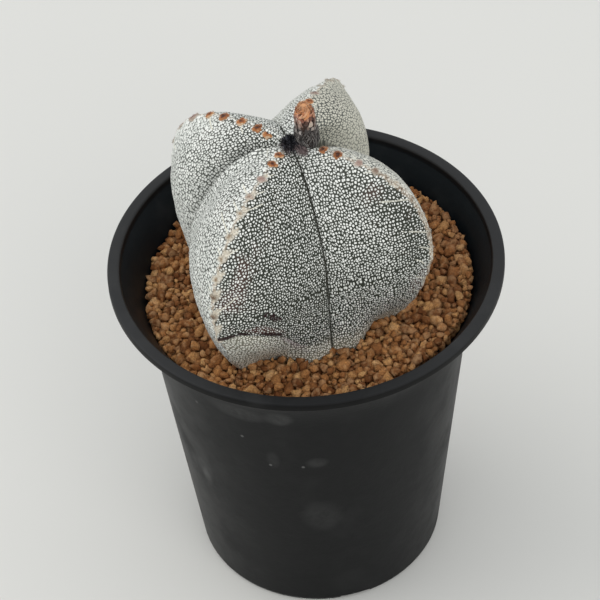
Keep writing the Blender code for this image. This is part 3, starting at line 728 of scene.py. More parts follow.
    colour = finish.paint(skin, (fleck, wool), (stroke * 0.92, LINE_WOOL), (blush, PURPLE),
                          (band * down.between(30.0, 60.0, 0.55, 0.8), cork),
                          (halo, finish.mix(ragged, TAN_WOOL, CREAM_WOOL)),
                          (browned, BROWNED), (dark, SCAR_BLACK), (crease_shade * 0.86, GROOVE_SHADE))
    relief = finish.bump(fleck.maximum(stroke) - scar_line, 0.14, finish.bump(soft, 0.35))
    return finish.done(Base_Color=colour, Normal=relief, Roughness=fleck.between(0.0, 1.0, 0.62, 0.92))


def ride(piece, slot, *nodes):
    """The piece rides on the one body and stands for nodes, whose parts it hides. The slot is not used."""
    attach(piece, "root")
    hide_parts(*nodes)


# Areoles

def areole_frames():
    """Every areole's middle, run down the ridge, side and outward directions, age and rib."""
    rows = []
    for rib in range(RIBS):
        u, length, _ = ridge_walk(rib)
        spots, count = areole_lengths(rib)
        crest = BODY[:MERIDIAN_STEPS, (2 * rib + 1) * FLANK_STEPS]
        place = np.interp(spots[:count], length, u) * MERIDIAN_STEPS / COLLAR - 1
        middle, behind, ahead = (np.stack([np.interp(place + shift, np.arange(MERIDIAN_STEPS), crest[:, k])
                                           for k in range(3)], -1) for shift in (0, -2, 2))
        run = unit(ahead - behind)
        side = np.tile(polar(1.0, RIB_TURNS[rib] + np.pi / 2), (count, 1))
        rows.append((middle, run, side, np.cross(run, side), np.arange(count), np.full(count, rib)))
    return [np.concatenate(parts) for parts in zip(*rows)]


def make_areoles():
    """Woolly cushions: domes of radius sin s and height cos s, lumped by sines, with fibres."""
    chance = np.random.default_rng(21)
    middle, run, side, out, order, rib = areole_frames()
    count = len(middle)
    age = np.clip(order / AREOLE_FADING[rib] + chance.uniform(-0.08, 0.08, count), 0, 1)
    size = AREOLE_RADIUS * (1.12 - 0.32 * age) * chance.uniform(0.92, 1.08, count)
    high = AREOLE_HEIGHT * (1.0 - np.where(rib == FRONT_RIB, 0.10, 0.60) * age)
    middle = middle - out * (0.20 + 0.22 * age)[:, None]
    rings, columns = 9, 16
    s = np.linspace(0, 0.66 * np.pi, rings + 1)[1:, None]
    turn = evenly(columns)
    lift = chance.uniform(0, FULL_TURN, (count, 4, 1, 1))
    lump = (1 + 0.16 * np.sin(3 * turn + lift[:, 0]) * np.sin(3 * s + lift[:, 1])
            + 0.12 * np.sin(5 * turn + lift[:, 2] + 4 * s))
    reach = size[:, None, None] * np.sin(s) * lump
    rise = high[:, None, None] * (np.cos(s) + 0.12 * np.sin(4 * turn + lift[:, 3]) * np.sin(2 * s))
    rise = rise - 0.45 * bell(np.sin(s), 0.30) * (s < np.pi / 2) * (high * (1 - age))[:, None, None]

    def around(reach, rise, turn):
        """Points round every areole: reach across it and along the ridge, and rise off it."""
        return (reach[..., None] * (np.cos(turn)[..., None] * side[:, None, None] * 1.08
                                    + np.sin(turn)[..., None] * run[:, None, None] * 0.95)
                + rise[..., None] * out[:, None, None])

    ring = middle[:, None, None] + around(reach, rise, turn)
    top = middle + out * (high * (1 - 0.45 * (1 - age)))[:, None]
    points = np.concatenate([top[:, None], ring.reshape(count, -1, 3), (middle - out * 0.9)[:, None]], 1)
    radial = np.concatenate([[0.0], np.repeat(np.sin(s[:, 0]), columns), [1.0]])
    stored = table(age[:, None], radial, chance.uniform(0, 1, (count, 1)))
    faces = repeated(closed_skin(rings, columns), count, points.shape[1])
    cushions = points.reshape(-1, 3), faces, stored.reshape(-1, 3)

    # Fibres that stand out from all over each dome
    shape = count, AREOLE_FIBRES
    turn = chance.uniform(0, FULL_TURN, shape)
    s = np.arccos(1 - chance.uniform(0, 1, shape) * 0.95)
    reach, rise = size[:, None] * np.sin(s), high[:, None] * np.cos(s)
    foot = middle[:, None] + around(reach[..., None], rise[..., None], turn[..., None])[:, :, 0]
    foot = foot.reshape(-1, 3)
    lean = around(np.sin(s)[..., None] * 0.9, (np.cos(s) * 0.8 + 0.1)[..., None], turn[..., None])[:, :, 0]
    length = chance.uniform(0.15, 0.42, shape) * (0.5 + np.sin(s))
    lean = unit(lean.reshape(-1, 3) + chance.normal(0, 0.35, foot.shape))
    tip = foot + lean * length.reshape(-1, 1)
    rows, sides = 4, 3
    spots, faces, _ = hairs(foot - lean * 0.2, tip, chance.normal(0, 0.10, foot.shape),
                            chance.uniform(0.055, 0.10, len(foot)), rows, sides)
    along = hair_share(rows, sides)
    values = table(np.repeat(age, AREOLE_FIBRES)[:, None], np.sin(s).reshape(-1, 1) + 0.15 * along,
                   chance.uniform(0, 1, (len(foot), 1)))
    points, faces, stored = joined(cushions, (spots, faces, values.reshape(-1, 3)))
    areoles = add_piece("areoles", points, faces, areole_wool(), {"wool": ("POINT", stored)})
    ride(areoles, "cactus_skin", "cactus")


def areole_wool():
    """Wool that is orange-brown with a dark heart on young areoles and fades to grey-tan."""
    finish = Finish("areole_wool", Roughness=0.95, Specular_IOR_Level=0.15, Sheen_Weight=0.25,
                    Sheen_Roughness=0.5)
    age, radial, luck = finish.stored("wool")
    spot = finish.place()
    patch = radial + (finish.noise(spot, 0.9, 2.0) - 0.5) * 1.2 + (luck - 0.5) * 0.4
    young = finish.ramp(patch, (0.08, (0.075, 0.023, 0.010)), (0.28, (0.20, 0.058, 0.018)),
                        (0.54, (0.44, 0.155, 0.048)), (0.86, (0.60, 0.27, 0.105)), (1.0, (0.74, 0.54, 0.36)))
    faded = finish.ramp(radial, (0.0, (0.38, 0.24, 0.20)), (0.6, (0.52, 0.38, 0.32)),
                        (1.0, (0.72, 0.66, 0.57)))
    old = finish.ramp(patch, (0.1, (0.26, 0.17, 0.11)), (0.5, (0.50, 0.42, 0.31)), (1.0, (0.78, 0.74, 0.64)))
    grain = finish.noise(spot, 0.28, 3.0)
    colour = finish.paint(young, (age.between(0.30, 0.45), faded), (age.between(0.55, 0.80), old),
                          ((grain + luck * 0.3).between(0.45, 0.85, 0.35, 0.0), (0.05, 0.025, 0.015)))
    return finish.done(Base_Color=colour, Normal=finish.bump(grain, 0.25))


# Granules

def outline_at(level):
    """Directions about the axis and radii where the plant's columns pass a height."""
    height = BODY[..., 2]
    low = (height < level)
    low[: MERIDIAN_STEPS // 2] = False
    i = low.argmax(0)[None, :, None]
    under, over = np.take_along_axis(BODY, i, 0)[0], np.take_along_axis(BODY, i - 1, 0)[0]
    share = (over[:, 2] - level) / (over[:, 2] - under[:, 2])
    spot = over + (under - over) * share[:, None] - AXIS
    turn, radius = np.arctan2(spot[:, 1], spot[:, 0]), np.hypot(spot[:, 0], spot[:, 1])
    order = np.argsort(turn)
    return turn[order], radius[order]


def wall_radius(height):
    """Outer radius of the pot's wall: a straight taper that flares towards the lip."""
    climb = np.maximum(0.0, (height - (RIM_HEIGHT - LIP_EDGE_HEIGHT) + FLARE_LENGTH) / FLARE_LENGTH)
    return FOOT_RADIUS + WALL_TAPER * height + FLARE_REACH * climb ** FLARE_POWER


def soil_tilt(points):
    """The soil's rise towards the right and fall towards the left, in full beside the wall."""
    share = np.minimum(1.0, ((points[..., 0] ** 2 + points[..., 1] ** 2) / TILT_REACH ** 2)) ** 1.5
    return SOIL_TILT * points[..., 0] * share


def pour_granules():
    """Middles and sizes of granules dropped one by one, each in the lowest of some trial places.

    A dropped ball rests at the greatest height at which it touches one that lies already."""
    chance = np.random.default_rng(31)
    turns, radii = outline_at(SOIL_LEVEL + 0.9)
    size = chance.lognormal(math.log(GRANULE_RADIUS), GRANULE_VARIETY, GRANULE_COUNT)
    size = np.clip(size, SMALLEST_RADIUS, LARGEST_RADIUS)
    size = size[np.argsort(size + chance.normal(0, 0.55, GRANULE_COUNT))[::-1]]
    middles = np.zeros((GRANULE_COUNT, 3))
    inner_wall = wall_radius(SOIL_LEVEL) - WALL
    for kept, radius in enumerate(size):
        turn = chance.uniform(-np.pi, np.pi, 6 * GRANULE_TRIALS)
        far = chance.uniform(0, 1, 6 * GRANULE_TRIALS)
        spot = np.sqrt(far)[:, None] * (inner_wall - 0.92 * radius) * polar(1.0, turn)[:, :2]
        off = spot - AXIS[:2]
        clear = np.hypot(*off.T) - np.interp(np.arctan2(off[:, 1], off[:, 0]), turns, radii, period=FULL_TURN)
        spot = spot[clear > 0.60 * radius][:GRANULE_TRIALS]
        gap = ((spot[:, None] - middles[None, :kept, :2]) ** 2).sum(-1)
        touch = (radius + size[:kept]) ** 2 - gap
        climb = np.sqrt(np.maximum(touch, 0)) * 0.93
        rest = np.where(touch > 0, middles[:kept, 2] + climb, BED_LEVEL + radius)
        height = rest.max(1, initial=BED_LEVEL + radius)
        best = height.argmin()
        middles[kept] = (*spot[best], height[best])
    reach = np.hypot(*middles[:, :2].T)
    middles[:, 2] += soil_tilt(middles)
    inside = wall_radius(middles[:, 2] - 0.5 * size) - WALL - 1.12 * size
    middles[:, :2] *= np.minimum(1.0, inside / reach)[:, None]
    return middles, size


def cube_sphere(steps):
    """Directions on a cube's faces, each split in steps by steps quads, and the quads."""
    line = np.tan(np.linspace(-np.pi / 4, np.pi / 4, steps + 1))
    a, b = np.meshgrid(line, line, indexing="ij")
    one = np.ones_like(a)
    sides = [(one, a, b), (-one, b, a), (b, one, a), (a, -one, b), (a, b, one), (b, a, -one)]
    points = np.concatenate([np.stack(side, -1).reshape(-1, 3) for side in sides])
    i, j = np.meshgrid(np.arange(steps), np.arange(steps), indexing="ij")
    base = i * (steps + 1) + j
    quad = np.stack([base, base + steps + 1, base + steps + 2, base + 1], -1).reshape(-1, 4)
    quads = np.concatenate([quad + k * (steps + 1) ** 2 for k in range(6)])
    _, first, back = np.unique(np.round(points, 6), axis=0, return_index=True, return_inverse=True)
    return unit(points[first]), back.reshape(-1)[quads]


def granule_forms(middles, size, steps, chance):
    """Worn chips of fired clay: in a direction d the surface is at the p-mean of plane distances.

    The radius is the sum over random planes of (cosine of d to the plane / its distance) to
    the power p, then to the power -1 / p, which rounds the chip's edges as p falls."""
    directions, quads = cube_sphere(steps)
    count = len(middles)
    normals = unit(chance.normal(size=(count, CHIP_PLANES, 3)))
    six_ways = np.broadcast_to(np.concatenate([np.eye(3), -np.eye(3)]), (count, 6, 3))
    normals = np.concatenate([normals, six_ways], 1)
    distance = chance.uniform(0.72, 1.15, (count, CHIP_PLANES))
    distance = np.concatenate([distance, np.full((count, 6), 1.22)], 1)
    cosine = np.maximum(np.einsum("vk,npk->nvp", directions, normals), 0) / distance[:, None]
    radius = (cosine ** CHIP_POWER).sum(-1) ** (-1 / CHIP_POWER)
    radius *= 1 + 0.05 * chance.normal(size=radius.shape)
    stretch = chance.uniform(0.82, 1.22, (count, 1, 3))
    shape = directions * radius[..., None] * size[:, None, None] * stretch
    axis = unit(chance.normal(size=(count, 3)))[:, None]
    turn = chance.uniform(0, FULL_TURN, (count, 1, 1))
    shape = (shape * np.cos(turn) + np.cross(np.broadcast_to(axis, shape.shape), shape) * np.sin(turn)
             + axis * (shape * axis).sum(-1, keepdims=True) * (1 - np.cos(turn)))
    return middles[:, None] + shape, quads


def make_granules():
    middles, size = pour_granules()
    chance = np.random.default_rng(41)
    large, clay = size > LARGE_RADIUS, fired_clay()
    for name, chosen, steps in (("granules_large", large, 3), ("granules_small", ~large, 2)):
        points, quads = granule_forms(middles[chosen], size[chosen], steps, chance)
        count, each = points.shape[:2]
        tone, luck = np.moveaxis(chance.uniform(0, 1, (count, 1, 2)), 2, 0)
        stored = table(tone, luck, (middles[chosen, 2] - SOIL_LEVEL)[:, None] + np.zeros(each)).reshape(-1, 3)
        faces = repeated([quads], count, each)
        piece = add_piece(name, points.reshape(-1, 3), faces, clay, {"chip": ("POINT", stored)})
        ride(piece, "clay_granules", "growing_medium")


def fired_clay():
    """Matt fired clay: every granule has its own brown, with pores painted dark as the shade in them, dust, a
    rough grain, and a painted shadow of the plant on the granules to its right.
    """
    finish = Finish("fired_clay", Specular_IOR_Level=0.2)
    tone, luck, _ = finish.stored("chip")
    spot = finish.place()
    x, y, _ = finish.parts(spot)
    colour = finish.ramp(tone, (0.0, (0.190, 0.066, 0.018)), (0.35, (0.390, 0.160, 0.050)),
                         (0.7, (0.580, 0.268, 0.090)), (1.0, (0.830, 0.475, 0.190)))
    grain = finish.noise(spot, 0.55, 4.0, 0.65)
    dusty = (finish.noise(spot, 1.7, 2.0) + luck * 0.25).between(0.55, 0.85, 0.0, 0.45)
    # Painted shadow of the plant on the granules to its right
    painted_plant_shadow = x.between(26.0, 44.0) * y.between(-30.0, -8.0)
    # Pores: bumped in, and painted dark as the shade inside them
    pores = finish.cells(spot, 0.42).between(0.10, 0.34)
    colour = finish.paint(colour, (grain.between(0.35, 0.7, 0.55, 0.0), (0.10, 0.038, 0.016)),
                          (dusty, (0.66, 0.41, 0.21)), (painted_plant_shadow * 0.36, (0.13, 0.042, 0.014)),
                          ((1.0 - pores) * 0.55, (0.07, 0.026, 0.012)))
    return finish.done(Base_Color=colour, Roughness=grain.between(0.3, 0.7, 0.98, 0.80),
                       Normal=finish.bump(pores, 0.14, finish.bump(grain, 0.30)))


def make_bed():
    """The fill under the granules, one closed skin: the hollow round the buried plant, the
    bed's rippled top, the side along the pot's wall and the flat underside."""
    first = int((BODY[..., 2].max(1) > BED_LEVEL).nonzero()[0][-1]) - 4
    hole = BODY[first:][::-2]
    hole = hole + off_axis(hole) * 0.35
    top = hole[-1] * [1, 1, 0] + [0, 0, BED_LEVEL - 0.5]
    hole = np.concatenate([hole[hole[..., 2].max(1) < BED_LEVEL - 0.6], top[None]])
    turn = np.arctan2(top[:, 1] - AXIS[1], top[:, 0] - AXIS[0])
    floor_top = FLOOR_HEIGHT + FLOOR_THICKNESS
    levels = np.array([BED_LEVEL, RIM_HEIGHT - LIP_EDGE_HEIGHT - FLARE_LENGTH,
                       floor_top + 1.4, floor_top + 0.3])
    radii = wall_radius(levels) - WALL - [0.4, 0.4, 0.4, 1.6]
    share = np.linspace(0, 1, 14)[1:-1, None, None]
    floor = top * (1 - share) + polar(radii[0], turn, BED_LEVEL) * share
    floor[..., 2] = BED_LEVEL + 0.5 * ripple(floor, 3.0, 51) + soil_tilt(floor)
    side = [polar(radius, turn, level) for radius, level in zip(radii, levels)]
    under = [polar(radii[-1] * part, turn, levels[-1]) for part in (0.7, 0.35)]
    rings = np.concatenate([hole, floor, side, under])
    skin = capped(AXIS + UP * (hole[0, :, 2].min() - 0.6), rings, UP * levels[-1])
    piece = add_piece("granule_bed", *skin, shaded_packed_clay())
    ride(piece, "clay_granules", "growing_medium")


def shaded_packed_clay():
    """The granules and dust under the top layer, painted dark as the shade among them, with painted shade
    darker still in the gaps between chips.
    """
    finish = Finish("shaded_packed_clay", Roughness=0.95, Specular_IOR_Level=0.1)
    spot = finish.place()
    chips = finish.cells(spot, 2.4)
    tone = finish.parts(finish.cells(spot, 2.4, output="Color"))[0]
    colour = finish.ramp(tone, (0.0, (0.060, 0.026, 0.012)), (1.0, (0.15, 0.07, 0.03)))
    # Painted shade in the gaps between chips
    colour = finish.mix(chips.between(0.3, 0.6), colour, (0.02, 0.009, 0.005))
    return finish.done(Base_Color=colour, Normal=finish.bump(1.0 - chips, 1.2))


# Withered flower and tuft

def make_flower():
    """The withered flower: a lumpy core, dark hairs below, scales, and tan wool on top."""
    chance = np.random.default_rng(61)
    foot, length = CROWN_SEAT, FLOWER_TOP - CROWN_SEAT

    def at(t, turn, out):
        """The point beside the flower's axis at a share t of its height."""
        radius = FLOWER_RADIUS * np.interp(t, FLOWER_RISES, FLOWER_WIDTHS) + out
        return FLOWER + polar(radius, turn, foot + t * length) - t[..., None] * [FLOWER_LEAN, 0, 0]

    def any_turn(*shape):
        return chance.uniform(0, FULL_TURN, shape)

    rows, around = 46, 40
    t = np.linspace(0.98, -0.03, rows)[:, None] + np.zeros(around)
    turn = evenly(around) + 0 * t
    lumps = (0.16 * np.sin(7 * turn + 9 * t) + 0.12 * np.sin(11 * turn - 25 * t)
             + 0.12 * np.sin(40 * t + 3 * turn))
    points, faces = capped(FLOWER + [-FLOWER_LEAN, 0, foot + length * 0.985], at(t, turn, lumps - 0.25),
                           FLOWER + UP * (foot - 0.8))
    high = (points[:, 2] - foot) / length
    core = points, faces, table(high, 0.2, 0.4 * (high > 0.85))

    def grown(shape, t, luck):
        """Stored values for strands: share of the flower's height, place along it, luck."""
        spots, faces, each = shape
        height = spots[:, 2].reshape(-1, each)
        values = table(t[:, None], clamped((height - height[:, :1]) / 4.0), luck[:, None])
        return spots, faces, values.reshape(-1, 3)

    # Dark hairs that clothe the lower part
    count = DARK_HAIRS
    t, turn = chance.uniform(-0.02, 0.36, count), any_turn(count)
    rise = chance.uniform(0.10, 0.22, count)
    start = at(t, turn, -0.35)
    end = at(t + rise, turn + chance.normal(0, 0.25, count), chance.uniform(0.0, 0.75, count))
    sag = polar(chance.uniform(0.1, 0.5, count), turn)
    fuzz = hairs(start, end, sag, chance.uniform(0.07, 0.15, count), rows=6)
    dark = grown(fuzz, t, chance.uniform(0, 1, count))

    # Overlapping pointed scales on the middle
    each = SCALES_EACH
    number = np.arange(WHORLS * each)
    level = 0.36 + 0.058 * (number // each) + chance.uniform(-0.020, 0.020, len(number))
    turn = (number % each + 0.5 * ((number // each) % 2)) * FULL_TURN / each
    turn = turn + chance.normal(0, 0.12, len(number))
    one_each = len(number), 1
    s = np.linspace(0, 1, 9)
    spread = np.array(SCALE_SPREAD) * chance.uniform(0.6, 1.6, one_each)
    spread = spread + 0.10 * np.sin(9 * s + chance.uniform(0, 6, one_each))
    along = level[:, None] + s * chance.uniform(0.11, 0.19, one_each)
    path = at(along, turn[:, None] + 0.12 * s * chance.normal(0, 1.0, one_each), spread)
    width = chance.uniform(0.38, 0.66, one_each) * np.sin(np.pi * clamped(s * 0.78 + 0.15)) ** 0.8
    width = width * (1 + 0.18 * np.sin(14 * s + chance.uniform(0, 6, one_each)))
    blades = strands(path, width, 0.10 + 0.05 * (1 - s) + 0 * width, 8, polar(1.0, turn)[:, None] + 0 * path)
    scales = grown(blades, level, chance.uniform(0, 1, len(number)))

    # Shrivelled petals and curly wool on top
    count = PETALS
    turn, s = any_turn(count), np.linspace(0, 1, 10)
    start = chance.uniform(0.66, 0.82, count)
    along = start[:, None] + s * chance.uniform(0.14, 0.20, (count, 1))
    out = chance.uniform(-0.6, 0.5, (count, 1)) + 0.35 * np.sin(5 * s + chance.uniform(0, 6, (count, 1)))
    path = at(np.minimum(along, 0.985), turn[:, None] + 0.5 * np.sin(3 * s + turn[:, None]), out)
    width = 0.52 * np.sin(np.pi * clamped(s * 0.8 + 0.15)) + 0 * along
    facing = unit(polar(1.0, turn)[:, None] + 0.5 * np.sin(4 * s + turn[:, None])[..., None])
    blades = strands(path, width, 0.12 + 0 * width, 8, facing)
    petals = grown(blades, along[:, 5], chance.uniform(0, 1, count))
    count, s = CURLS, np.linspace(0, 1, 9)
    start, turn = chance.uniform(0.74, 0.98, count), any_turn(count)
    along = np.minimum(start[:, None] + s * chance.uniform(-0.02, 0.12, (count, 1)), 1.0)
    path = at(along, turn[:, None] + 0 * s, -0.2 + s * chance.uniform(0.1, 0.6, (count, 1)))
    curl, size = any_turn(count, 1), chance.uniform(0.12, 0.42, (count, 1)) * s
    path = path + polar(size, 9 * s + curl, size * np.sin(7 * s - curl))
    path[..., 2] = np.minimum(path[..., 2], foot + length + 0.3)
    thin = chance.uniform(0.06, 0.10, (count, 1)) * (1 - 0.6 * s)
    curls = grown(strands(path, thin, thin, 4), start, chance.uniform(0, 1, count))

    points, faces, stored = joined(core, dark, scales, petals, curls)
    flower = add_piece("dried_flower_hairs", points, faces, dried_flower(), {"dry": ("POINT", stored)})
    ride(flower, "dried_flower", "dried_flower")


def dried_flower():
    """Dry plant skin: sooty grey hairs below, pinkish-brown scales, orange-brown wool on top."""
    finish = Finish("dried_flower", Roughness=0.9, Specular_IOR_Level=0.2, Sheen_Weight=0.15)
    height, _, luck = finish.stored("dry")
    spot = finish.place()
    wander = (finish.noise(spot, 1.2, 2.0) - 0.5) * 0.10
    body = finish.ramp(height + wander, (0.0, (0.038, 0.036, 0.035)), (0.42, (0.060, 0.052, 0.048)),
                       (0.52, (0.24, 0.160, 0.125)), (0.70, (0.33, 0.115, 0.070)),
                       (0.86, (0.62, 0.260, 0.105)), (1.0, (0.74, 0.390, 0.190)))
    pale = finish.ramp(height + wander, (0.0, (0.40, 0.385, 0.36)), (0.40, (0.44, 0.40, 0.37)),
                       (0.54, (0.56, 0.47, 0.39)), (0.74, (0.55, 0.28, 0.18)), (1.0, (0.82, 0.54, 0.33)))
    colour = finish.paint(body, (luck.between(0.45, 0.90, 0.0, 0.9), pale),
                          (luck.between(0.25, 0.0, 0.0, 0.8), (0.035, 0.020, 0.016)),
                          (finish.noise(spot, 0.5, 3.0).between(0.5, 0.75, 0.0, 0.5), (0.06, 0.028, 0.02)))
    return finish.done(Base_Color=colour, Normal=finish.bump(finish.noise(spot, 0.35, 3.0), 0.15))


def make_tuft():
    """The black tuft: hairs that rise from a mound and droop outwards over the crown."""
    chance = np.random.default_rng(71)
    rows, around = 14, 24
    s = np.linspace(0, np.pi, rows + 2)[1:-1, None]
    turn = evenly(around)
    swell = 2.15 + 0.15 * np.sin(5 * turn + 4 * s)
    seat = TUFT + UP * (CROWN_SEAT + 0.4)
    rings = seat + polar(swell * np.sin(s), turn, 1.25 * swell * np.cos(s))
    points, faces = capped(seat + 2.2 * UP, rings, seat - 2.2 * UP)
    mound = points, faces, np.tile([0.0, 0.0, 0.15], (len(points), 1))
    turn, reach = chance.uniform(0, FULL_TURN, TUFT_HAIRS), np.sqrt(chance.uniform(0.02, 1, TUFT_HAIRS))
    foot = seat + polar(1.6 * reach, turn, 2.2 * (1 - 0.6 * reach))
    spread = reach * chance.uniform(2.2, 3.7, TUFT_HAIRS) * (1 - 0.22 * np.cos(turn - 1.6))
    rise = 5.6 - 5.2 * reach * chance.uniform(0.70, 1.1, TUFT_HAIRS)
    tip = seat + polar(spread, turn, rise) * [1.0, 1.2, 1.0] + chance.normal(0, 0.25, (TUFT_HAIRS, 3))
    bow = polar(0.5 * reach, turn, 0.9 * reach)
    # Some hairs stream over to the right and forwards, in front of the flower
    over = slice(0, STREAMING_HAIRS)
    foot[over] = seat + chance.uniform([0.6, -1.6, 0.8], [2.6, 0.2, 2.6], (STREAMING_HAIRS, 3))
    tip[over] = seat + chance.uniform([2.6, -5.2, -0.6], [5.6, -3.2, 1.2], (STREAMING_HAIRS, 3))
    reach[over] = 1.5
    spots, faces, _ = hairs(foot, tip, bow, chance.uniform(0.08, 0.17, TUFT_HAIRS), rows=6)
    stored = table(hair_share(6, 4), reach[:, None], chance.uniform(0, 1, (TUFT_HAIRS, 1)))
    points, faces, stored = joined(mound, (spots, faces, stored.reshape(-1, 3)))
    tuft = add_piece("dried_tuft_hairs", points, faces, dark_wool(), {"hair": ("POINT", stored)})
    ride(tuft, "dark_wool", "dried_tuft")


def dark_wool():
    """Sooty black hair whose tips turn dull brown and grey on some strands."""
    finish = Finish("dark_wool", Roughness=0.7, Specular_IOR_Level=0.25)
    along, reach, luck = finish.stored("hair")
    tips = finish.mix(luck, (0.11, 0.075, 0.075), (0.36, 0.28, 0.27))
    share = (along * reach + luck * 0.3).between(0.55, 1.15, 0.0, 0.85)
    grey = luck.between(0.72, 0.95, 0.0, 0.8) * (reach > 0.2) * (reach < 1.2)
    colour = finish.paint((0.009, 0.009, 0.012), (share, tips), (grey, (0.16, 0.165, 0.19)))
    return finish.done(Base_Color=colour)


# Pot

def rounded(profile, radii, steps=5):
    """A closed outline whose corners are quadratic curves that start radius mm before each."""
    corner = np.array(profile)
    before, after = np.roll(corner, 1, 0), np.roll(corner, -1, 0)
    radii = np.array(radii)[:, None]
    back, on = (corner + unit(way) * np.minimum(radii, 0.45 * np.linalg.norm(way, axis=1)[:, None])
                for way in (before - corner, after - corner))
    t = np.linspace(0, 1, steps)[:, None, None]
    arcs = back * (1 - t) ** 2 + corner * 2 * t * (1 - t) + on * t ** 2
    return arcs.transpose(1, 0, 2).reshape(-1, 2)


def pot_profile():
    """The pot's half section as (radius, height): from the floor's underside up and over."""
    lip_foot, lip_top = RIM_HEIGHT - LIP_EDGE_HEIGHT, RIM_HEIGHT + LIP_RISE
    floor_top = FLOOR_HEIGHT + FLOOR_THICKNESS
    foot = FOOT_RADIUS - 0.6
    heights = lip_foot - FLARE_LENGTH * np.linspace(0, 1, 15)[1:]
    inner = np.array([lip_foot + 0.6, *heights])
    outer = [(wall_radius(h), h) for h in heights]
    corners = [((foot - FOOT_WIDTH, FLOOR_HEIGHT), 0.5), ((foot - FOOT_WIDTH, 0.0), 0.3), ((foot, 0.0), 0.3),
               ((FOOT_RADIUS + 0.16, 1.5), 0.5)]
    corners += [(spot, 0.3) for spot in outer[::-1]]
    corners += [((wall_radius(lip_foot), lip_foot), 0.45), ((LIP_RADIUS, lip_foot), 0.40),
                ((LIP_RADIUS, RIM_HEIGHT), 0.55),
                ((LIP_RADIUS - LIP_WIDTH / 2, lip_top - 0.3 * LIP_RISE), 1.2),
                ((LIP_RADIUS - LIP_WIDTH, lip_top), 0.6)]
    corners += [((wall_radius(h) - WALL, h), 0.3) for h in inner]
    corners += [((wall_radius(floor_top) - WALL, floor_top), 1.2)]
    return rounded([spot for spot, _ in corners], [radius for _, radius in corners])


def make_pot():
    """The pot: its half section turned about the axis, then drilled and notched."""
    profile = pot_profile()[:, None]
    rings = polar(profile[..., 0], -evenly(POT_COLUMNS), profile[..., 1])
    first, last = UP * FLOOR_HEIGHT, UP * (FLOOR_HEIGHT + FLOOR_THICKNESS)
    pot = add_piece("pot_moulded", *capped(first, rings, last), pot_plastic())
    cutters = []
    for place in np.concatenate([[first], first + polar(DRAIN_CIRCLE, evenly(DRAIN_COUNT))]) * MM:
        bpy.ops.mesh.primitive_cylinder_add(vertices=DRILL_SIDES, radius=DRAIN_RADIUS * MM,
                                            depth=DRILL_LENGTH * MM, location=place)
        cutters.append(bpy.context.object)
    for turn in NOTCH_TURN + evenly(NOTCH_COUNT):
        bpy.ops.mesh.primitive_cube_add(size=MM, location=polar(FOOT_RADIUS * MM, turn),
                                        rotation=(0, 0, turn),
                                        scale=(6 * FOOT_WIDTH, NOTCH_WIDTH, 2 * NOTCH_HEIGHT))
        cutters.append(bpy.context.object)
    group = bpy.data.collections.new("cutters")
    bpy.context.scene.collection.children.link(group)
    for cutter in cutters:
        group.objects.link(cutter)
    cut = pot.modifiers.new("cut", "BOOLEAN")
    cut.operand_type, cut.collection, cut.operation, cut.solver = "COLLECTION", group, "DIFFERENCE", "EXACT"
    bpy.context.view_layer.update()
    result = bpy.data.meshes.new_from_object(pot.evaluated_get(bpy.context.evaluated_depsgraph_get()))
    pot.modifiers.clear()
    pot.data = result
    for cutter in cutters:
        bpy.data.objects.remove(cutter, do_unlink=True)
    bpy.data.collections.remove(group)
    pot.data.set_sharp_from_angle(angle=math.radians(40))
    ride(pot, "pot_plastic", "pot")


# Dusty places on the pot's wall: direction in degrees, height, half width in degrees,
# half height in mm, and strength
DUST = ((-143.0, 56.5, 6.5, 9.0, 0.55), (-141.5, 51.0, 3.5, 6.0, 0.35), (-118.0, 97.5, 13.0, 4.0, 0.40),
        (-103.0, 98.5, 6.0, 4.0, 0.42), (-90.6, 76.4, 5.0, 3.0, 0.22), (-90.0, 48.0, 10.0, 9.0, 0.20),
        (-107.0, 77.0, 3.0, 5.0, 0.18))
SPECKS = ((-136.7, 92.2), (-117.9, 85.6), (-108.2, 73.9), (-95.9, 74.3))


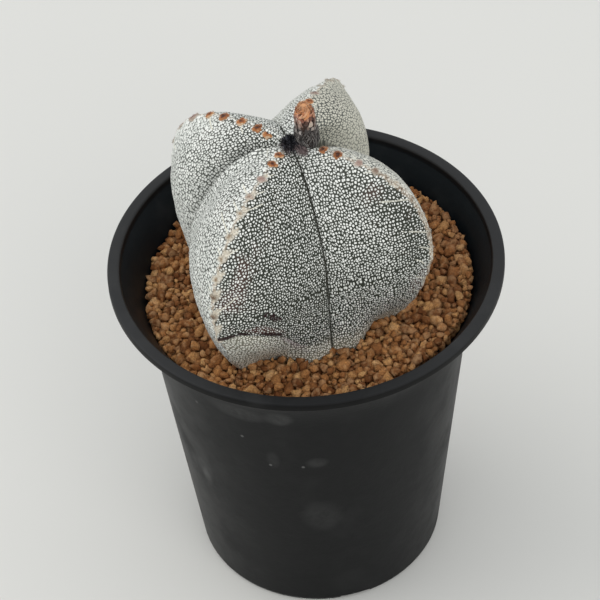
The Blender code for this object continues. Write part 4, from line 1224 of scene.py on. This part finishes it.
def pot_plastic():
    """Matt black moulded plastic with a fine grain, faint dust and a few pale specks, a painted sheen on the
    lip's top and painted shade on the lip's outer edge.
    """
    finish = Finish("pot_plastic", Specular_IOR_Level=0.13)
    spot = finish.place()
    x, y, z = finish.parts(spot)
    turn = y.arctan2(x) * (180 / math.pi)
    cloud = finish.noise(spot, 14.0, 4.0, 0.6)
    fine = finish.noise(spot, 2.2, 3.0, 0.6)
    ragged = (fine * 0.5 + cloud * 0.5).between(0.34, 0.62, 0.25, 0.80)
    dust = cloud.between(0.45, 0.8, 0.0, 0.10)
    for direction, height, wide, high, strength in DUST:
        away = ((turn - direction) / wide) ** 2.0 + ((z - height) / high) ** 2.0 + (fine - 0.5) * 0.9
        dust = dust + away.between(0.1, 1.0, strength, 0.0) * ragged
    for direction, height in SPECKS:
        away = ((turn - direction) * 0.85) ** 2.0 + (z - height) ** 2.0 + (fine - 0.5) * 0.3
        dust = dust + away.between(0.05, 0.45, 0.75, 0.0)
    reach = (x ** 2.0 + y ** 2.0) ** 0.5
    climb = ((z - (RIM_HEIGHT - LIP_EDGE_HEIGHT - FLARE_LENGTH)) / FLARE_LENGTH).maximum(0.0)
    within = z * WALL_TAPER + climb ** FLARE_POWER * FLARE_REACH + (FOOT_RADIUS - 0.5) - reach
    inner = within.between(0.0, 0.2) * z.between(RIM_HEIGHT - 2.0, RIM_HEIGHT, 1.0, 0.0)
    # Painted sheen: the lip's top lighter, more so towards the sides, as the sky's reflection on it
    lip_sheen = z.between(RIM_HEIGHT - 0.7, RIM_HEIGHT - 0.1) * abs(x).between(5.0, 50.0, 0.35, 1.0)
    # Painted shade on the lip's outer edge, less where the sheen is
    lip_edge_shade = reach.between(LIP_RADIUS - 0.5, LIP_RADIUS - 0.2) * (1.0 - lip_sheen)
    colour = finish.paint((0.0036, 0.0039, 0.0043), (lip_sheen, (0.026, 0.0265, 0.027)),
                          (inner, (0.0045, 0.0068, 0.0085)), (lip_edge_shade, (0.0008, 0.0008, 0.0009)),
                          (dust, (0.12, 0.12, 0.117)))
    relief = finish.bump(finish.noise(spot, 0.45, 2.0), 0.02, finish.bump(cloud, 0.15))
    roughness = (cloud + dust).between(0.3, 1.1, 0.40, 0.68)
    return finish.done(Base_Color=colour, Roughness=roughness, Normal=relief)


# Floor, light and camera

def area_light(name, place, size, power):
    """A round lamp that shines at the plant."""
    lamp = bpy.data.lights.new(name, "AREA")
    lamp.shape, lamp.size, lamp.energy, lamp.color = "DISK", size, power, LAMP_COLOUR
    light = bpy.data.objects.new(name, lamp)
    facing = (LAMP_AIM - Vector(place)).to_track_quat("-Z", "Y").to_matrix().to_4x4()
    light.matrix_world = Matrix.Translation(place) @ facing
    bpy.context.scene.collection.objects.link(light)


def make_stage():
    """A pale floor, an even surround with two large soft lamps, and the photo's camera."""
    half = 2500.0
    corners = np.array([[-half, -half, 0], [half, -half, 0], [half, half, 0], [-half, half, 0]])
    finish = Finish("pale_floor", Specular_IOR_Level=0.2, Roughness=0.8)
    tint = finish.mix(finish.noise(finish.place(), 300.0), (0.680, 0.675, 0.640), (0.71, 0.705, 0.67))
    floor = add_piece("floor", corners, [np.array([[0, 1, 2, 3]])], finish.done(Base_Color=tint))
    world = bpy.data.worlds.new("studio")
    bpy.context.scene.world = world
    world.use_nodes = True
    sky = world.node_tree.nodes["Background"].inputs
    sky["Color"].default_value, sky["Strength"].default_value = SKY_COLOUR, SKY_STRENGTH
    for lamp in LAMPS:
        area_light(*lamp)
    camera = bpy.data.objects.new("camera", bpy.data.cameras.new("camera"))
    camera.data.lens, camera.data.sensor_width = CAMERA_LENS, 36.0
    camera.data.clip_start, camera.data.clip_end = 0.01, 50.0
    turned = Matrix.Rotation(math.pi / 2 - CAMERA_DIP, 4, "X") @ Matrix.Rotation(CAMERA_ROLL, 4, "Z")
    camera.matrix_world = Matrix.Translation(Vector(CAMERA_PLACE) * MM) @ turned
    bpy.context.scene.collection.objects.link(camera)
    bpy.context.scene.camera = camera
    bpy.context.scene.view_settings.view_transform = "Standard"


make_stage()
BODY = make_cactus()
make_areoles()
make_granules()
make_bed()
make_flower()
make_tuft()
make_pot()
